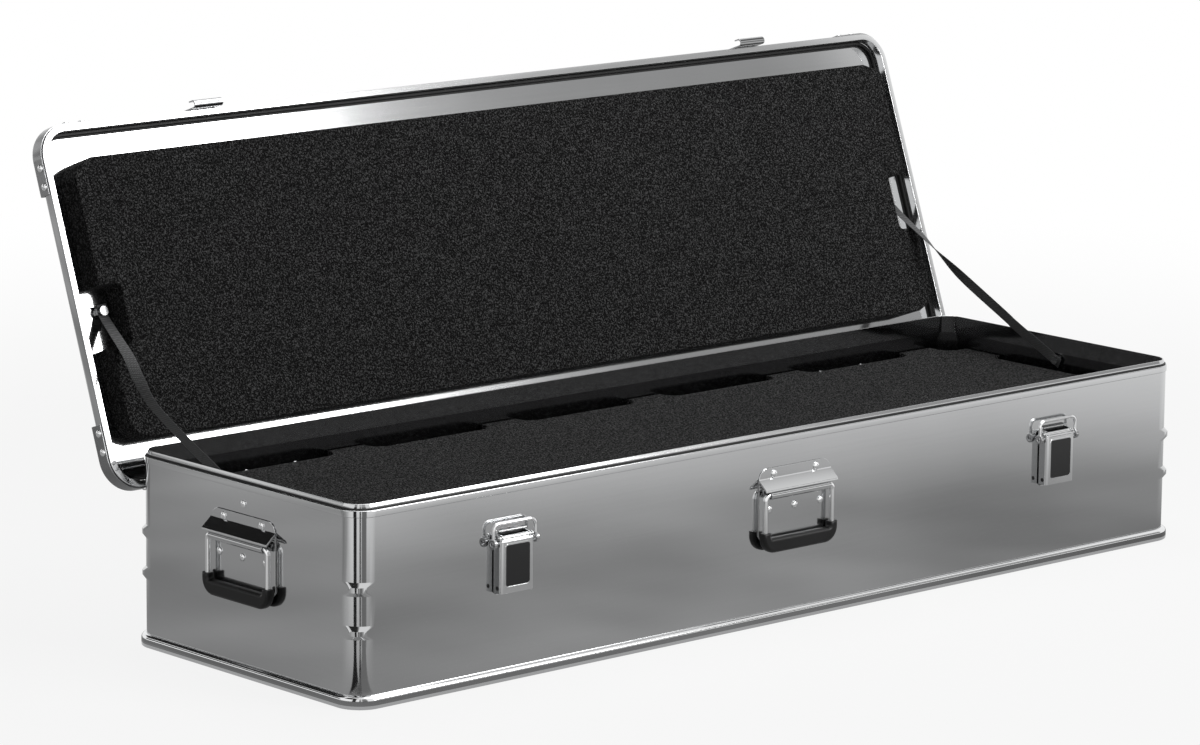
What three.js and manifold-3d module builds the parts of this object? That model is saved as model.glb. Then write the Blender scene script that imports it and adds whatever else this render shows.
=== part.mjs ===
// Long low aluminium transport case with a hinged overhanging lid, toggle latches,
// drop handles, lid straps and a stack of five cut foam layers. Millimetres.
// Origin: centre of the underside. +X along the case, -Y the front, +Z up.
import * as THREE from "three";
import { mergeVertices } from "three/addons/utils/BufferGeometryUtils.js";
import Module from "manifold-3d";

const wasm = await Module();
wasm.setup();

// Case body
const CASE_L = 1200; // outer wall to outer wall
const CASE_W = 360;
const SHEET = 1.5; // wall and floor sheet
const WALL_TOP = 194.6;
const CORNER_R = 24; // vertical corners
const BEAD_R = 14; // the sharper corner inside a bead
const BEADS = [
  [70.4, 84.4],
  [114.5, 128.9],
]; // lower and upper edge of the two beads in each corner
const BEAD_SLOPE = 4.5;
const HX = CASE_L / 2;
const HY = CASE_W / 2;

// Running and seating clearances
const SEAT = 0.2;
const RUN = 0.3;

// Rim profile on the body's upper edge
const RIM_PROUD = 1;
const RIM_FACE = 7.2;
const RIM_LOW = WALL_TOP + SEAT;
const LEDGE_Z = RIM_LOW + RIM_FACE;
const LIP_H = 6;
const LIP_TOP = LEDGE_Z + LIP_H;
const LIP_IN = 4.2; // from the wall's outer face to the lip's inner face
const LIP_T = 2.4;
const LIP_BEVEL = [1.4, 2.8]; // of the lip's upper outer edge, inward and down
const RIM_LEG = 6.6; // the leg's reach below the wall's edge
const RIM_LEG_Z = WALL_TOP - RIM_LEG;
const RIM_EASE = 0.9;
const LIP_EASE = 0.4;

// Base hoop
const HOOP_PROUD = 5.7;
const HOOP_H = 13.4;

// Hinge line and lid, given in the closed position
const HINGE_OUT = 3.6; // out of the rear wall
const HINGE_DROP = 12.9; // below the wall's edge
const HINGE_Y = HY + HINGE_OUT;
const HINGE_Z = WALL_TOP - HINGE_DROP;
const OPEN_DEG = 110.1;
const LID_OVER = [18.9, 13.8]; // half outline beyond the body's, along and across
const LID_HX = HX + LID_OVER[0];
const LID_HY = HY + LID_OVER[1];
const LID_CY = 4.8;
const LID_R = CORNER_R + 9.6;
const LID_SKIRT = 2.6; // below the wall's edge
const LID_LOW = WALL_TOP - LID_SKIRT;
const LIP_ROOM = 0.8; // between the rim's lip and the lid's panel
const LID_TOP = LIP_TOP + LIP_ROOM + SHEET;
const LID_EDGE_R = 9;
const FRAME_W = 6.8;
const FRAME_T = 1.5;
const FRAME_H = 12;

// Lid corner brackets
const BRACKET_T = 1.3;
const BRACKET_LEG = 71;
const BRACKET_TOP_W = 16;
const BRACKET_LOW = LID_LOW + 2.2;
const BRACKET_RIVETS = [42, 62]; // from the corner, along each leg
const BRACKET_RIVET_Z = LID_LOW + 7.3;

// Lid liner
const LINER_ROOM = [25.9, 43.8]; // to the lid's outline, along and across
const LINER_HX = LID_HX - LINER_ROOM[0];
const LINER_HY = LID_HY - LINER_ROOM[1];
const LINER_T = 28.2;
const LINER_CHAMFER = [25, 19, 8, 7]; // long and short setbacks of the cut corners
const NOTCH_ROOM = [14, 24.5, 41.2]; // inward, forward and back of the strap's anchor
const NOTCH_FILLET = 6;

// Foam layers, lowest first
const FOAM_T = [68.4, 45.4, 22.7, 22.2, 10.5];
const FOAM_HX = HX - LIP_IN - RUN;
const FOAM_HY = HY - LIP_IN - RUN;
const FOAM_BLOCK = 50; // block width on the long sides
const FOAM_END_IN = 55.5; // from the foam's end to the middle of the last block
const FOAM_PITCH = (FOAM_HX - FOAM_END_IN) / 2.5; // six blocks on each long side
const FOAM_RECESS = [16, 21]; // depth of the recesses at the ends and the sides
const FOAM_RECESS_X = FOAM_HX - FOAM_RECESS[0];
const FOAM_RECESS_Y = FOAM_HY - FOAM_RECESS[1];
const FOAM_END = [FOAM_HY - 86.5, FOAM_HY - 31.1]; // end blocks, from the middle line
const FOAM_FILLET = 17;

// Handles: u along the wall, h up, d out of the wall
const PLATE_T = 1.3;
const WIRE_R = 3;
const AXLE_DROP = 52.6; // below the wall's edge
const AXLE_D = 8;
const AXLE_H = WALL_TOP - AXLE_DROP;
const LEG_U = 49;
const LEG_REACH = 53.5; // from the axle down to the grip's bar
const GRIP_BAR_H = AXLE_H - LEG_REACH;
const BAIL_BEND = [9, 5.5]; // of the wire, in the grip and at the axle
const GRIP_WALL = 2.4; // round the wire's legs, to each side and in depth
const GRIP_HALF = WIRE_R + GRIP_WALL;
const GRIP_H = [GRIP_BAR_H - 9, GRIP_BAR_H + 7.3, GRIP_BAR_H + 13.5]; // foot, bar, sockets
const GRIP_FILLET = [17, 2]; // outer foot corners and inner corners
const GRIP_EASE = [2.6, 0.8]; // full and first step of the rounded edges
const PLATE_HALF = LEG_U + 3.5;
const PLATE_H = [AXLE_H - 50, AXLE_H + 27.5];
const PLATE_FILLET = [12, 8];
const ROLL_HALF = LEG_U - WIRE_R - 2.5;
const ROLL_R = WIRE_R + 1.9;
const ROOF_HALF = LEG_U + 4;
const ROOF_TIP = [13.2, AXLE_H + 4.2];
const ROOF_T = 1.4;
const ROOF_TOP = AXLE_H + 15.4;
const RIVET_R = 4;
const RIVET_H = 2.4;
const PLATE_RIVETS = [
  [-31, AXLE_H + 21],
  [31, AXLE_H + 21],
  [-37.7, AXLE_H - 17],
  [0, AXLE_H - 17],
  [37.7, AXLE_H - 17],
];

// Latches
const LATCH_IN = 200; // from the body's end to the latch's middle
const LATCH_X = HX - LATCH_IN;
const LATCH_DROP = 43.6; // lever pivot below the wall's edge
const LATCH_HALF = 22.5;
const LATCH_D = 12.8;
const LATCH_SHEET = 1.4;
const LATCH_BACK = 2; // the cover's edge, out of the wall
const PIVOT = [LATCH_D - 4.3, WALL_TOP - LATCH_DROP]; // lever pivot: d, h
const LATCH_H = [PIVOT[1] - 57, PIVOT[1] - 3];
const BAIL_PIN = [LATCH_D - 5.5, PIVOT[1] - 5];
const BAIL_R = 1.75;
const KNUCKLE_R = 5.2; // of the bail's rolled ends
const BAIL_U = LATCH_HALF + 5.7;
const BAIL_H = PIVOT[1] + 15;
const INLAY = [31, 42.4, 0.9];
const INLAY_LOW = LATCH_H[0] + 7.4;
const INLAY_ROOM = 0.4; // to the pocket's edge
const POCKET_DEEP = 0.6;
const BASE_HALF = LATCH_HALF - 2.5;
const BASE_H = [PIVOT[1] - 60, PIVOT[1] + 7]; // foot and lip
const BASE_LIP_HALF = LATCH_HALF - 4;
const EAR_OUT = LATCH_HALF - LATCH_SHEET - 2.2; // outer face of the base's ears
const EAR_T = 1.5;
const LATCH_PIN_R = 1.5;
const ROLLER_R = 2.4;
const CATCH_HALF = 19;
const CATCH_T = 1.5;

// Hinges
const HINGE_IN = 177; // from the body's end to the hinge's middle
const HINGE_X = HX - HINGE_IN;
const HINGE_HALF = 45;
const BARREL_R = HINGE_OUT - 0.5;
const PIN_R = 1.5;
const LEAF_T = 1.5;
const LEAF_REACH = 31.7; // below the hinge line
const LEAF_LOW = HINGE_Z - LEAF_REACH;
const KNUCKLES = 5;
const LEAF_RIVET = [33, 20.2]; // off the hinge's middle and below its line

// Straps
const STRAP_W = 12;
const STRAP_T = 0.6;
const STRAP_IN = HX - LIP_IN - STRAP_T / 2 - 0.4; // inside the rim's lip, then steps over it
const STRAP_OUT = FOAM_HX + STRAP_T / 2 + RUN; // clear of the foam's end blocks
const STRAP_DROP = 14.6; // lower anchor below the wall's edge
const STRAP_LOW = [STRAP_IN, 0, WALL_TOP - STRAP_DROP];
const STRAP_RUN = [
  [STRAP_IN, HINGE_Y - 117.6, HINGE_Z + 29.9, 0],
  [STRAP_OUT, HINGE_Y - 102.6, HINGE_Z + 37.3, 0],
  [STRAP_OUT + 0.4, HINGE_Y - 33.6, HINGE_Z + 72.3, 0],
  [HX - 8.5, HINGE_Y + 1.4, HINGE_Z + 96.3, 40],
  [HX - 14, HINGE_Y + 27.4, HINGE_Z + 117.3, 75],
]; // x, y, z and twist in degrees
const STRAP_TOP = [HX - 20, HINGE_Y - 173.8, LID_TOP - 8.7]; // given with the lid closed
const ANCHOR_R = [5.2, 2.2]; // head and stud
const ANCHOR_T = 2;

const ARC = 6; // segments of a quarter turn on the long corners

const solidOf = (geometry) => {
  const bare = geometry.clone();
  bare.deleteAttribute("normal");
  bare.deleteAttribute("uv");
  const merged = mergeVertices(bare, 1e-4);
  return new wasm.Manifold(
    new wasm.Mesh({
      numProp: 3,
      vertProperties: merged.attributes.position.array,
      triVerts: new Uint32Array(merged.index.array),
    }),
  );
};

const geometryOf = (solid) => {
  const mesh = solid.getMesh();
  const points = new Float32Array(mesh.numVert * 3);
  for (let i = 0; i < mesh.numVert; i++) {
    const at = i * mesh.numProp;
    points.set(mesh.vertProperties.subarray(at, at + 3), i * 3);
  }
  const geometry = new THREE.BufferGeometry();
  geometry.setAttribute("position", new THREE.BufferAttribute(points, 3));
  geometry.setIndex(new THREE.BufferAttribute(new Uint32Array(mesh.triVerts), 1));
  return geometry;
};

const join = (...list) => geometryOf(list.map(solidOf).reduce((a, b) => a.add(b)));
const cut = (base, ...tools) =>
  geometryOf(tools.map(solidOf).reduce((a, b) => a.subtract(b), solidOf(base)));

// A closed surface from rings of equal length; each ring runs anticlockwise seen from above.
const loft = (rings, closed) => {
  const n = rings[0].length;
  const points = rings.flat().flat();
  const faces = [];
  const last = closed ? rings.length : rings.length - 1;
  for (let i = 0; i < last; i++) {
    const next = (i + 1) % rings.length;
    for (let j = 0; j < n; j++) {
      const k = (j + 1) % n;
      faces.push(i * n + j, i * n + k, next * n + k);
      faces.push(i * n + j, next * n + k, next * n + j);
    }
  }
  if (!closed) {
    const flat = (ring) => ring.map(([x, y]) => new THREE.Vector2(x, y));
    const top = (rings.length - 1) * n;
    for (const [a, b, c] of THREE.ShapeUtils.triangulateShape(flat(rings[0]), [])) {
      faces.push(c, b, a);
    }
    for (const [a, b, c] of THREE.ShapeUtils.triangulateShape(flat(rings.at(-1)), [])) {
      faces.push(top + a, top + b, top + c);
    }
  }
  const geometry = new THREE.BufferGeometry();
  geometry.setAttribute("position", new THREE.Float32BufferAttribute(points, 3));
  geometry.setIndex(faces);
  return geometry;
};

// A rounded rectangle as [x, y, z] points, anticlockwise from the front right corner.
const ring = (hx, hy, r, z, cy = 0, arc = ARC) => {
  const corners = [
    [1, -1, -90],
    [1, 1, 0],
    [-1, 1, 90],
    [-1, -1, 180],
  ];
  return corners.flatMap(([sx, sy, from]) =>
    Array.from({ length: arc + 1 }, (_, i) => {
      const a = THREE.MathUtils.degToRad(from + (90 * i) / arc);
      const x = sx * (hx - r) + r * Math.cos(a);
      return [x, cy + sy * (hy - r) + r * Math.sin(a), z];
    }),
  );
};

// A profile of [outward offset, z] points carried all round a rounded rectangle.
const hoop = (profile, hx, hy, r, cy = 0) =>
  loft(
    profile.map(([o, z]) => ring(hx + o, hy + o, r + o, z, cy)),
    true,
  );

// A profile of [outward offset, z] points carried round one corner and along its two legs.
const cornerStrip = (profile, hx, hy, r, leg, sx, sy, cy) => {
  const stations = [[hx, hy - leg, 0]];
  for (let i = 0; i <= ARC; i++) {
    stations.push([hx - r, hy - r, (90 * i) / ARC]);
  }
  stations.push([hx - leg, hy, 90]);
  const along = stations.map(([x, y, deg], i) => {
    const a = THREE.MathUtils.degToRad(deg);
    const reach = i > 0 && i < stations.length - 1 ? r : 0;
    return profile.map(([o, z]) => [
      x + (reach + o) * Math.cos(a),
      y + (reach + o) * Math.sin(a),
      z,
    ]);
  });
  const n = profile.length;
  const points = along.flat().map(([x, y, z]) => [sx * x, cy + sy * y, z]);
  const faces = [];
  for (let i = 0; i < along.length - 1; i++) {
    for (let j = 0; j < n; j++) {
      const k = (j + 1) % n;
      faces.push([i * n + j, (i + 1) * n + j, (i + 1) * n + k]);
      faces.push([i * n + j, (i + 1) * n + k, i * n + k]);
    }
  }
  const flat = profile.map(([o, z]) => new THREE.Vector2(o, z));
  const end = (along.length - 1) * n;
  for (const [a, b, c] of THREE.ShapeUtils.triangulateShape(flat, [])) {
    faces.push([a, b, c], [end + c, end + b, end + a]);
  }
  const turned = sx * sy < 0 ? faces.map(([a, b, c]) => [a, c, b]) : faces;
  const geometry = new THREE.BufferGeometry();
  geometry.setAttribute("position", new THREE.Float32BufferAttribute(points.flat(), 3));
  geometry.setIndex(turned.flat());
  return geometry;
};

const block = (x, y, z) =>
  new THREE.BoxGeometry(x[1] - x[0], y[1] - y[0], z[1] - z[0]).translate(
    (x[0] + x[1]) / 2,
    (y[0] + y[1]) / 2,
    (z[0] + z[1]) / 2,
  );

// An outline of [x, y, corner radius] points, rounded and extruded from z0 to z1.
const rounded = (outline, arc = 4) => {
  const shape = [];
  outline.forEach(([x, y, r = 0], i) => {
    if (!r) {
      shape.push(new THREE.Vector2(x, y));
      return;
    }
    const at = new THREE.Vector2(x, y);
    const [px, py] = outline.at(i - 1);
    const [nx, ny] = outline[(i + 1) % outline.length];
    const back = new THREE.Vector2(px - x, py - y).normalize();
    const ahead = new THREE.Vector2(nx - x, ny - y).normalize();
    const half = Math.acos(THREE.MathUtils.clamp(back.dot(ahead), -1, 1)) / 2;
    const middle = back.clone().add(ahead).normalize();
    const centre = at.clone().addScaledVector(middle, r / Math.sin(half));
    const from = at.clone().addScaledVector(back, r / Math.tan(half)).sub(centre);
    const to = at.clone().addScaledVector(ahead, r / Math.tan(half)).sub(centre);
    const sweep = Math.atan2(from.cross(to), from.dot(to));
    for (let k = 0; k <= arc; k++) {
      const a = from.angle() + (sweep * k) / arc;
      shape.push(new THREE.Vector2(centre.x + r * Math.cos(a), centre.y + r * Math.sin(a)));
    }
  });
  return shape;
};

const slab = (outline, z0, z1, arc) =>
  new THREE.ExtrudeGeometry(new THREE.Shape(rounded(outline, arc)), {
    depth: z1 - z0,
    bevelEnabled: false,
  }).translate(0, 0, z0);

const rectangle = (hx, y0, y1, rTop = 0, rLow = rTop) => [
  [-hx, y0, rLow],
  [hx, y0, rLow],
  [hx, y1, rTop],
  [-hx, y1, rTop],
];

// Swaps two axes of a geometry and turns its faces to point out again.
const swapped = (geometry, matrix) => {
  const flat = geometry.clone().applyMatrix4(matrix);
  const p = flat.attributes.position.array;
  for (let i = 3; i < p.length; i += 9) {
    const keep = p.slice(i, i + 3);
    p.copyWithin(i, i + 3, i + 6);
    p.set(keep, i + 3);
  }
  return flat;
};
const SWAP_XZ = new THREE.Matrix4().set(0, 0, 1, 0, 0, 1, 0, 0, 1, 0, 0, 0, 0, 0, 0, 1);
const SWAP_YZ = new THREE.Matrix4().set(1, 0, 0, 0, 0, 0, 1, 0, 0, 1, 0, 0, 0, 0, 0, 1);

// A profile of [d, h] points carried along the wall from u0 to u1.
const rail = (profile, u0, u1) => swapped(slab(profile, u0, u1), SWAP_XZ);

// A profile of [u, d] points carried up the wall from h0 to h1.
const post = (profile, h0, h1) => swapped(slab(profile, h0, h1, 3), SWAP_YZ);

const rod = (r, u0, u1, d, h, sides = 12) =>
  new THREE.CylinderGeometry(r, r, u1 - u0, sides)
    .rotateZ(Math.PI / 2)
    .translate((u0 + u1) / 2, h, d);

// Domed rivet head standing on the plane d0 at (u, h), with its foot sunk into the plate.
const rivet = (u, h, d0, r = RIVET_R, high = RIVET_H) =>
  new THREE.LatheGeometry(
    [
      [0, -0.5],
      [r, -0.5],
      [r, high * 0.3],
      [r * 0.8, high * 0.78],
      [r * 0.42, high],
      [0, high],
    ].map(([x, y]) => new THREE.Vector2(x, y)),
    10,
  )
    .rotateX(Math.PI / 2)
    .translate(u, h, d0);

// A profile of [across, d] points carried along points in the wall's plane.
const wireSweep = (path, profile, closed) => {
  const n = path.length;
  const rings = path.map(([u, h], i) => {
    const [pu, ph] = closed || i > 0 ? path[(i - 1 + n) % n] : [u, h];
    const [nu, nh] = closed || i < n - 1 ? path[(i + 1) % n] : [u, h];
    const inward = new THREE.Vector2(u - pu, h - ph).normalize();
    const outward = new THREE.Vector2(nu - u, nh - h).normalize();
    const along = inward.clone().add(outward).normalize();
    const mitre = Math.max(along.dot(inward.length() ? inward : outward), 0.5);
    const across = new THREE.Vector2(along.y, -along.x).multiplyScalar(1 / mitre);
    return profile.map(([a, d]) => [u + across.x * a, h + across.y * a, d]);
  });
  const points = rings.flat().flat();
  const m = profile.length;
  const faces = [];
  for (let i = 0; i < (closed ? n : n - 1); i++) {
    const next = (i + 1) % n;
    for (let j = 0; j < m; j++) {
      const k = (j + 1) % m;
      faces.push(i * m + j, next * m + j, next * m + k);
      faces.push(i * m + j, next * m + k, i * m + k);
    }
  }
  if (!closed) {
    for (let j = 1; j < m - 1; j++) {
      faces.push(0, j, j + 1);
      faces.push((n - 1) * m, (n - 1) * m + j + 1, (n - 1) * m + j);
    }
  }
  const geometry = new THREE.BufferGeometry();
  geometry.setAttribute("position", new THREE.Float32BufferAttribute(points, 3));
  geometry.setIndex(faces);
  return geometry;
};

const circle = (r, d, sides = 10) =>
  Array.from({ length: sides }, (_, i) => {
    const a = (2 * Math.PI * (i + 0.5)) / sides;
    return [r * Math.cos(a), d + r * Math.sin(a)];
  });

// u, h, d of the wall become x, z and -y.
const onWall = (geometry) => geometry.rotateX(Math.PI / 2);
const front = (geometry, x) => onWall(geometry).translate(x, -HY, 0);
const leftEnd = (geometry) => onWall(geometry).rotateZ(-Math.PI / 2).translate(-HX, 0, 0);
const rightEnd = (geometry) => onWall(geometry).rotateZ(Math.PI / 2).translate(HX, 0, 0);
const rear = (geometry, x) => onWall(geometry).rotateZ(Math.PI).translate(x, HY, 0);

const MATERIALS = {
  sheet: { color: 0xc4c6c8, roughness: 0.34, metalness: 1 },
  extrusion: { color: 0xd2d4d6, roughness: 0.26, metalness: 1 },
  steel: { color: 0xd8dadb, roughness: 0.14, metalness: 1 },
  rubber: { color: 0x1f2021, roughness: 0.55, metalness: 0 },
  plastic: { color: 0x1b1b1c, roughness: 0.4, metalness: 0 },
  foam: { color: 0x2a2a2a, roughness: 0.95, metalness: 0 },
  webbing: { color: 0x4a4b4c, roughness: 0.85, metalness: 0 },
};

const part = new THREE.Group();
const lid = new THREE.Group();

const add = (name, material, geometry, group = part) => {
  const mesh = new THREE.Mesh(geometry, new THREE.MeshStandardMaterial(MATERIALS[material]));
  mesh.name = name;
  group.add(mesh);
};

// Body shell: a drawn tray with two beads in every vertical corner, the rivet heads of
// the strap anchors on its ends and those of the hinge leaves inside its rear wall.
const bodyCorner = [[0, CORNER_R]];
for (const [low, high] of BEADS) {
  bodyCorner.push([low, CORNER_R], [low + BEAD_SLOPE, BEAD_R]);
  bodyCorner.push([high - BEAD_SLOPE, BEAD_R], [high, CORNER_R]);
}
bodyCorner.push([WALL_TOP, CORNER_R]);
const inside = bodyCorner.map(([z, r]) => [Math.max(z, SHEET), r - SHEET]).reverse();
const tray = loft(
  [
    ...bodyCorner.map(([z, r]) => ring(HX, HY, r, z)),
    ...inside.map(([z, r]) => ring(HX - SHEET, HY - SHEET, r, z)),
  ],
  false,
);
const anchorHeads = [
  leftEnd(rivet(0, STRAP_LOW[2], 0)),
  rightEnd(rivet(0, STRAP_LOW[2], 0)),
];
const leafRivetH = HINGE_Z - LEAF_RIVET[1];
const leafHeads = [-HINGE_X, HINGE_X].flatMap((x) =>
  [-LEAF_RIVET[0], LEAF_RIVET[0]].map((u) =>
    front(rivet(x + u, leafRivetH, SHEET - CASE_W), 0),
  ),
);
add("body_shell", "sheet", join(tray, ...anchorHeads, ...leafHeads));

const rimProfile = [
  [-LIP_IN, RIM_LEG_Z],
  [-SHEET - RUN, RIM_LEG_Z],
  [-SHEET - RUN, RIM_LOW],
  [RIM_PROUD, RIM_LOW],
  [RIM_PROUD, LEDGE_Z - RIM_EASE],
  [RIM_PROUD - RIM_EASE, LEDGE_Z],
  [LIP_T - LIP_IN, LEDGE_Z],
  [LIP_T - LIP_IN, LIP_TOP - LIP_BEVEL[1]],
  [LIP_T - LIP_IN - LIP_BEVEL[0], LIP_TOP],
  [LIP_EASE - LIP_IN, LIP_TOP],
  [-LIP_IN, LIP_TOP - LIP_EASE],
];
add("body_rim", "extrusion", hoop(rimProfile, HX, HY, CORNER_R));

const hoopProfile = [
  [SEAT, 0],
  [HOOP_PROUD - 1.2, 0],
  [HOOP_PROUD, 1.2],
  [HOOP_PROUD, HOOP_H - 5.8],
  [HOOP_PROUD - 0.6, HOOP_H - 3.4],
  [HOOP_PROUD - 2.2, HOOP_H - 1.2],
  [HOOP_PROUD - 4.4, HOOP_H],
  [SEAT, HOOP_H],
];
add("base_hoop", "extrusion", hoop(hoopProfile, HX, HY, CORNER_R));

// Handles: riveted plate with a sloping rain roof and a rolled axle sleeve, wire
// bail and moulded grip.
const handlePlate = () => {
  const face = SEAT + PLATE_T;
  const plate = slab(rectangle(PLATE_HALF, ...PLATE_H, ...PLATE_FILLET), SEAT, face);
  const [tip, low] = ROOF_TIP;
  const roof = rail(
    [
      [SEAT + 0.4, ROOF_TOP - 1.8],
      [tip - ROOF_T, low + 2],
      [tip - ROOF_T, low],
      [tip, low],
      [tip, low + 3],
      [face, ROOF_TOP],
      [SEAT + 0.4, ROOF_TOP],
    ],
    -ROOF_HALF,
    ROOF_HALF,
  );
  const sleeve = rod(ROLL_R, -ROLL_HALF, ROLL_HALF, AXLE_D, AXLE_H, 16);
  const web = block([-ROLL_HALF, ROLL_HALF], [AXLE_H - 1.4, AXLE_H + 1.4], [SEAT + 0.4, 5]);
  const bore = rod(WIRE_R + 0.4, -ROOF_HALF, ROOF_HALF, AXLE_D, AXLE_H, 16);
  const heads = PLATE_RIVETS.map(([u, h]) => rivet(u, h, face));
  return join(cut(join(plate, sleeve, web), bore), roof, ...heads);
};

const bailPath = rounded(
  [
    [-LEG_U, GRIP_BAR_H, BAIL_BEND[0]],
    [LEG_U, GRIP_BAR_H, BAIL_BEND[0]],
    [LEG_U, AXLE_H, BAIL_BEND[1]],
    [-LEG_U, AXLE_H, BAIL_BEND[1]],
  ],
  5,
).map(({ x, y }) => [x, y]);
const handleBail = () => wireSweep(bailPath, circle(WIRE_R, AXLE_D), true);

const handleGrip = () => {
  const [foot, bar, top] = GRIP_H;
  const [outer, inner] = [LEG_U + GRIP_HALF, LEG_U - GRIP_HALF];
  const outline = (e) =>
    rounded([
      [-outer + e, foot + e, GRIP_FILLET[0] - e],
      [outer - e, foot + e, GRIP_FILLET[0] - e],
      [outer - e, top - e],
      [inner + e, top - e],
      [inner + e, bar - e, GRIP_FILLET[1] + e],
      [-inner - e, bar - e, GRIP_FILLET[1] + e],
      [-inner - e, top - e],
      [-outer + e, top - e],
    ]);
  const [ease, step] = GRIP_EASE;
  const rings = [
    [ease, -GRIP_HALF],
    [step, step - GRIP_HALF],
    [0, ease - GRIP_HALF],
    [0, GRIP_HALF - ease],
    [step, GRIP_HALF - step],
    [ease, GRIP_HALF],
  ].map(([e, d]) => outline(e).map(({ x, y }) => [x, y, AXLE_D + d]));
  const tunnel = wireSweep(bailPath, circle(WIRE_R + RUN + 0.2, AXLE_D), true);
  return cut(loft(rings, false), tunnel);
};

for (const [name, place] of [
  ["front", (g) => front(g, 0)],
  ["left", leftEnd],
  ["right", rightEnd],
]) {
  add(`handle_${name}_plate`, "sheet", place(handlePlate()));
  add(`handle_${name}_bail`, "steel", place(handleBail()));
  add(`handle_${name}_grip`, "rubber", place(handleGrip()));
}

// Latches: base with two ears, pivot pin, lever cover, label inlay and bail loop.
const latchBase = () => {
  const ear = [
    [SEAT, PIVOT[1] - 3.4],
    [PIVOT[0], PIVOT[1] - 2.6],
    [PIVOT[0] + 2.2, PIVOT[1] - 1.5],
    [PIVOT[0] + 2.6, PIVOT[1]],
    [PIVOT[0] + 2.2, PIVOT[1] + 1.5],
    [PIVOT[0], PIVOT[1] + 2.6],
    [SEAT, PIVOT[1] + 5],
  ];
  const top = BASE_H[1];
  const plate = slab(rectangle(BASE_HALF, ...BASE_H, 1.5, 3), SEAT, SEAT + LATCH_SHEET);
  const lipDepth = [SEAT + 0.4, 5.2];
  const lip = block([-BASE_LIP_HALF, BASE_LIP_HALF], [top - LATCH_SHEET, top], lipDepth);
  const ears = [-EAR_OUT, EAR_OUT - EAR_T].map((u) => rail(ear, u, u + EAR_T));
  const hole = rod(LATCH_PIN_R + 0.1, -LATCH_HALF, LATCH_HALF, ...PIVOT);
  return cut(join(plate, lip, ...ears), hole);
};

const latchPin = () => {
  const [end, roller] = [LATCH_HALF + 0.9, EAR_OUT - EAR_T - 0.5];
  return join(rod(LATCH_PIN_R, -end, end, ...PIVOT), rod(ROLLER_R, -roller, roller, ...PIVOT));
};

const latchLever = () => {
  const [low, high] = LATCH_H;
  const inner = LATCH_HALF - LATCH_SHEET;
  const channel = [
    [-LATCH_HALF, LATCH_BACK],
    [-inner, LATCH_BACK],
    [-inner, LATCH_D - LATCH_SHEET, 2.6],
    [inner, LATCH_D - LATCH_SHEET, 2.6],
    [inner, LATCH_BACK],
    [LATCH_HALF, LATCH_BACK],
    [LATCH_HALF, LATCH_D, 4],
    [-LATCH_HALF, LATCH_D, 4],
  ];
  const cover = post(channel, low, high);
  const ear = [
    [PIVOT[0] - 4.1, high - 6],
    [PIVOT[0] + 2.5, high - 6],
    [PIVOT[0] + 2.5, PIVOT[1] + 1],
    [PIVOT[0] + 1.1, PIVOT[1] + 2.7],
    [PIVOT[0] - 1.5, PIVOT[1] + 2.7],
    [PIVOT[0] - 3.1, PIVOT[1] + 1],
  ];
  const ears = [
    [-LATCH_HALF + 0.1, -inner],
    [inner, LATCH_HALF - 0.1],
  ].map(([a, b]) => rail(ear, a, b));
  const [wide, tall] = INLAY;
  const pocket = slab(
    rectangle(wide / 2 + INLAY_ROOM, INLAY_LOW - INLAY_ROOM, INLAY_LOW + tall + INLAY_ROOM, 3),
    LATCH_D - POCKET_DEEP,
    LATCH_D + 1,
  );
  const through = LATCH_HALF + 1.5;
  const pivotHole = rod(LATCH_PIN_R + 0.1, -through, through, ...PIVOT);
  const bailHole = rod(BAIL_R + RUN, -through, through, ...BAIL_PIN);
  const sideHole = rod(2.4, -through, through, LATCH_D - 5.8, low + 5.5);
  return cut(join(cover, ...ears), pocket, pivotHole, bailHole, sideHole);
};

const latchInlay = () =>
  slab(
    rectangle(INLAY[0] / 2, INLAY_LOW, INLAY_LOW + INLAY[1], 2.7),
    LATCH_D - POCKET_DEEP + 0.05,
    LATCH_D - POCKET_DEEP + 0.05 + INLAY[2],
  );

const latchBail = () => {
  const path = rounded(
    [
      [-BAIL_U, BAIL_PIN[1], 2.5],
      [BAIL_U, BAIL_PIN[1], 2.5],
      [BAIL_U, BAIL_H, 7],
      [-BAIL_U, BAIL_H, 7],
    ],
    4,
  ).map(({ x, y }) => [x, y]);
  const knuckles = [-BAIL_U, BAIL_U].map((u) => rod(KNUCKLE_R, u - 2, u + 2, ...BAIL_PIN));
  return join(wireSweep(path, circle(BAIL_R, BAIL_PIN[0], 8), true), ...knuckles);
};

for (const [name, x] of [
  ["left", -LATCH_X],
  ["right", LATCH_X],
]) {
  add(`latch_${name}_base`, "steel", front(latchBase(), x));
  add(`latch_${name}_pin`, "steel", front(latchPin(), x));
  add(`latch_${name}_lever`, "extrusion", front(latchLever(), x));
  add(`latch_${name}_inlay`, "plastic", front(latchInlay(), x));
  add(`latch_${name}_bail`, "steel", front(latchBail(), x));
}

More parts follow.
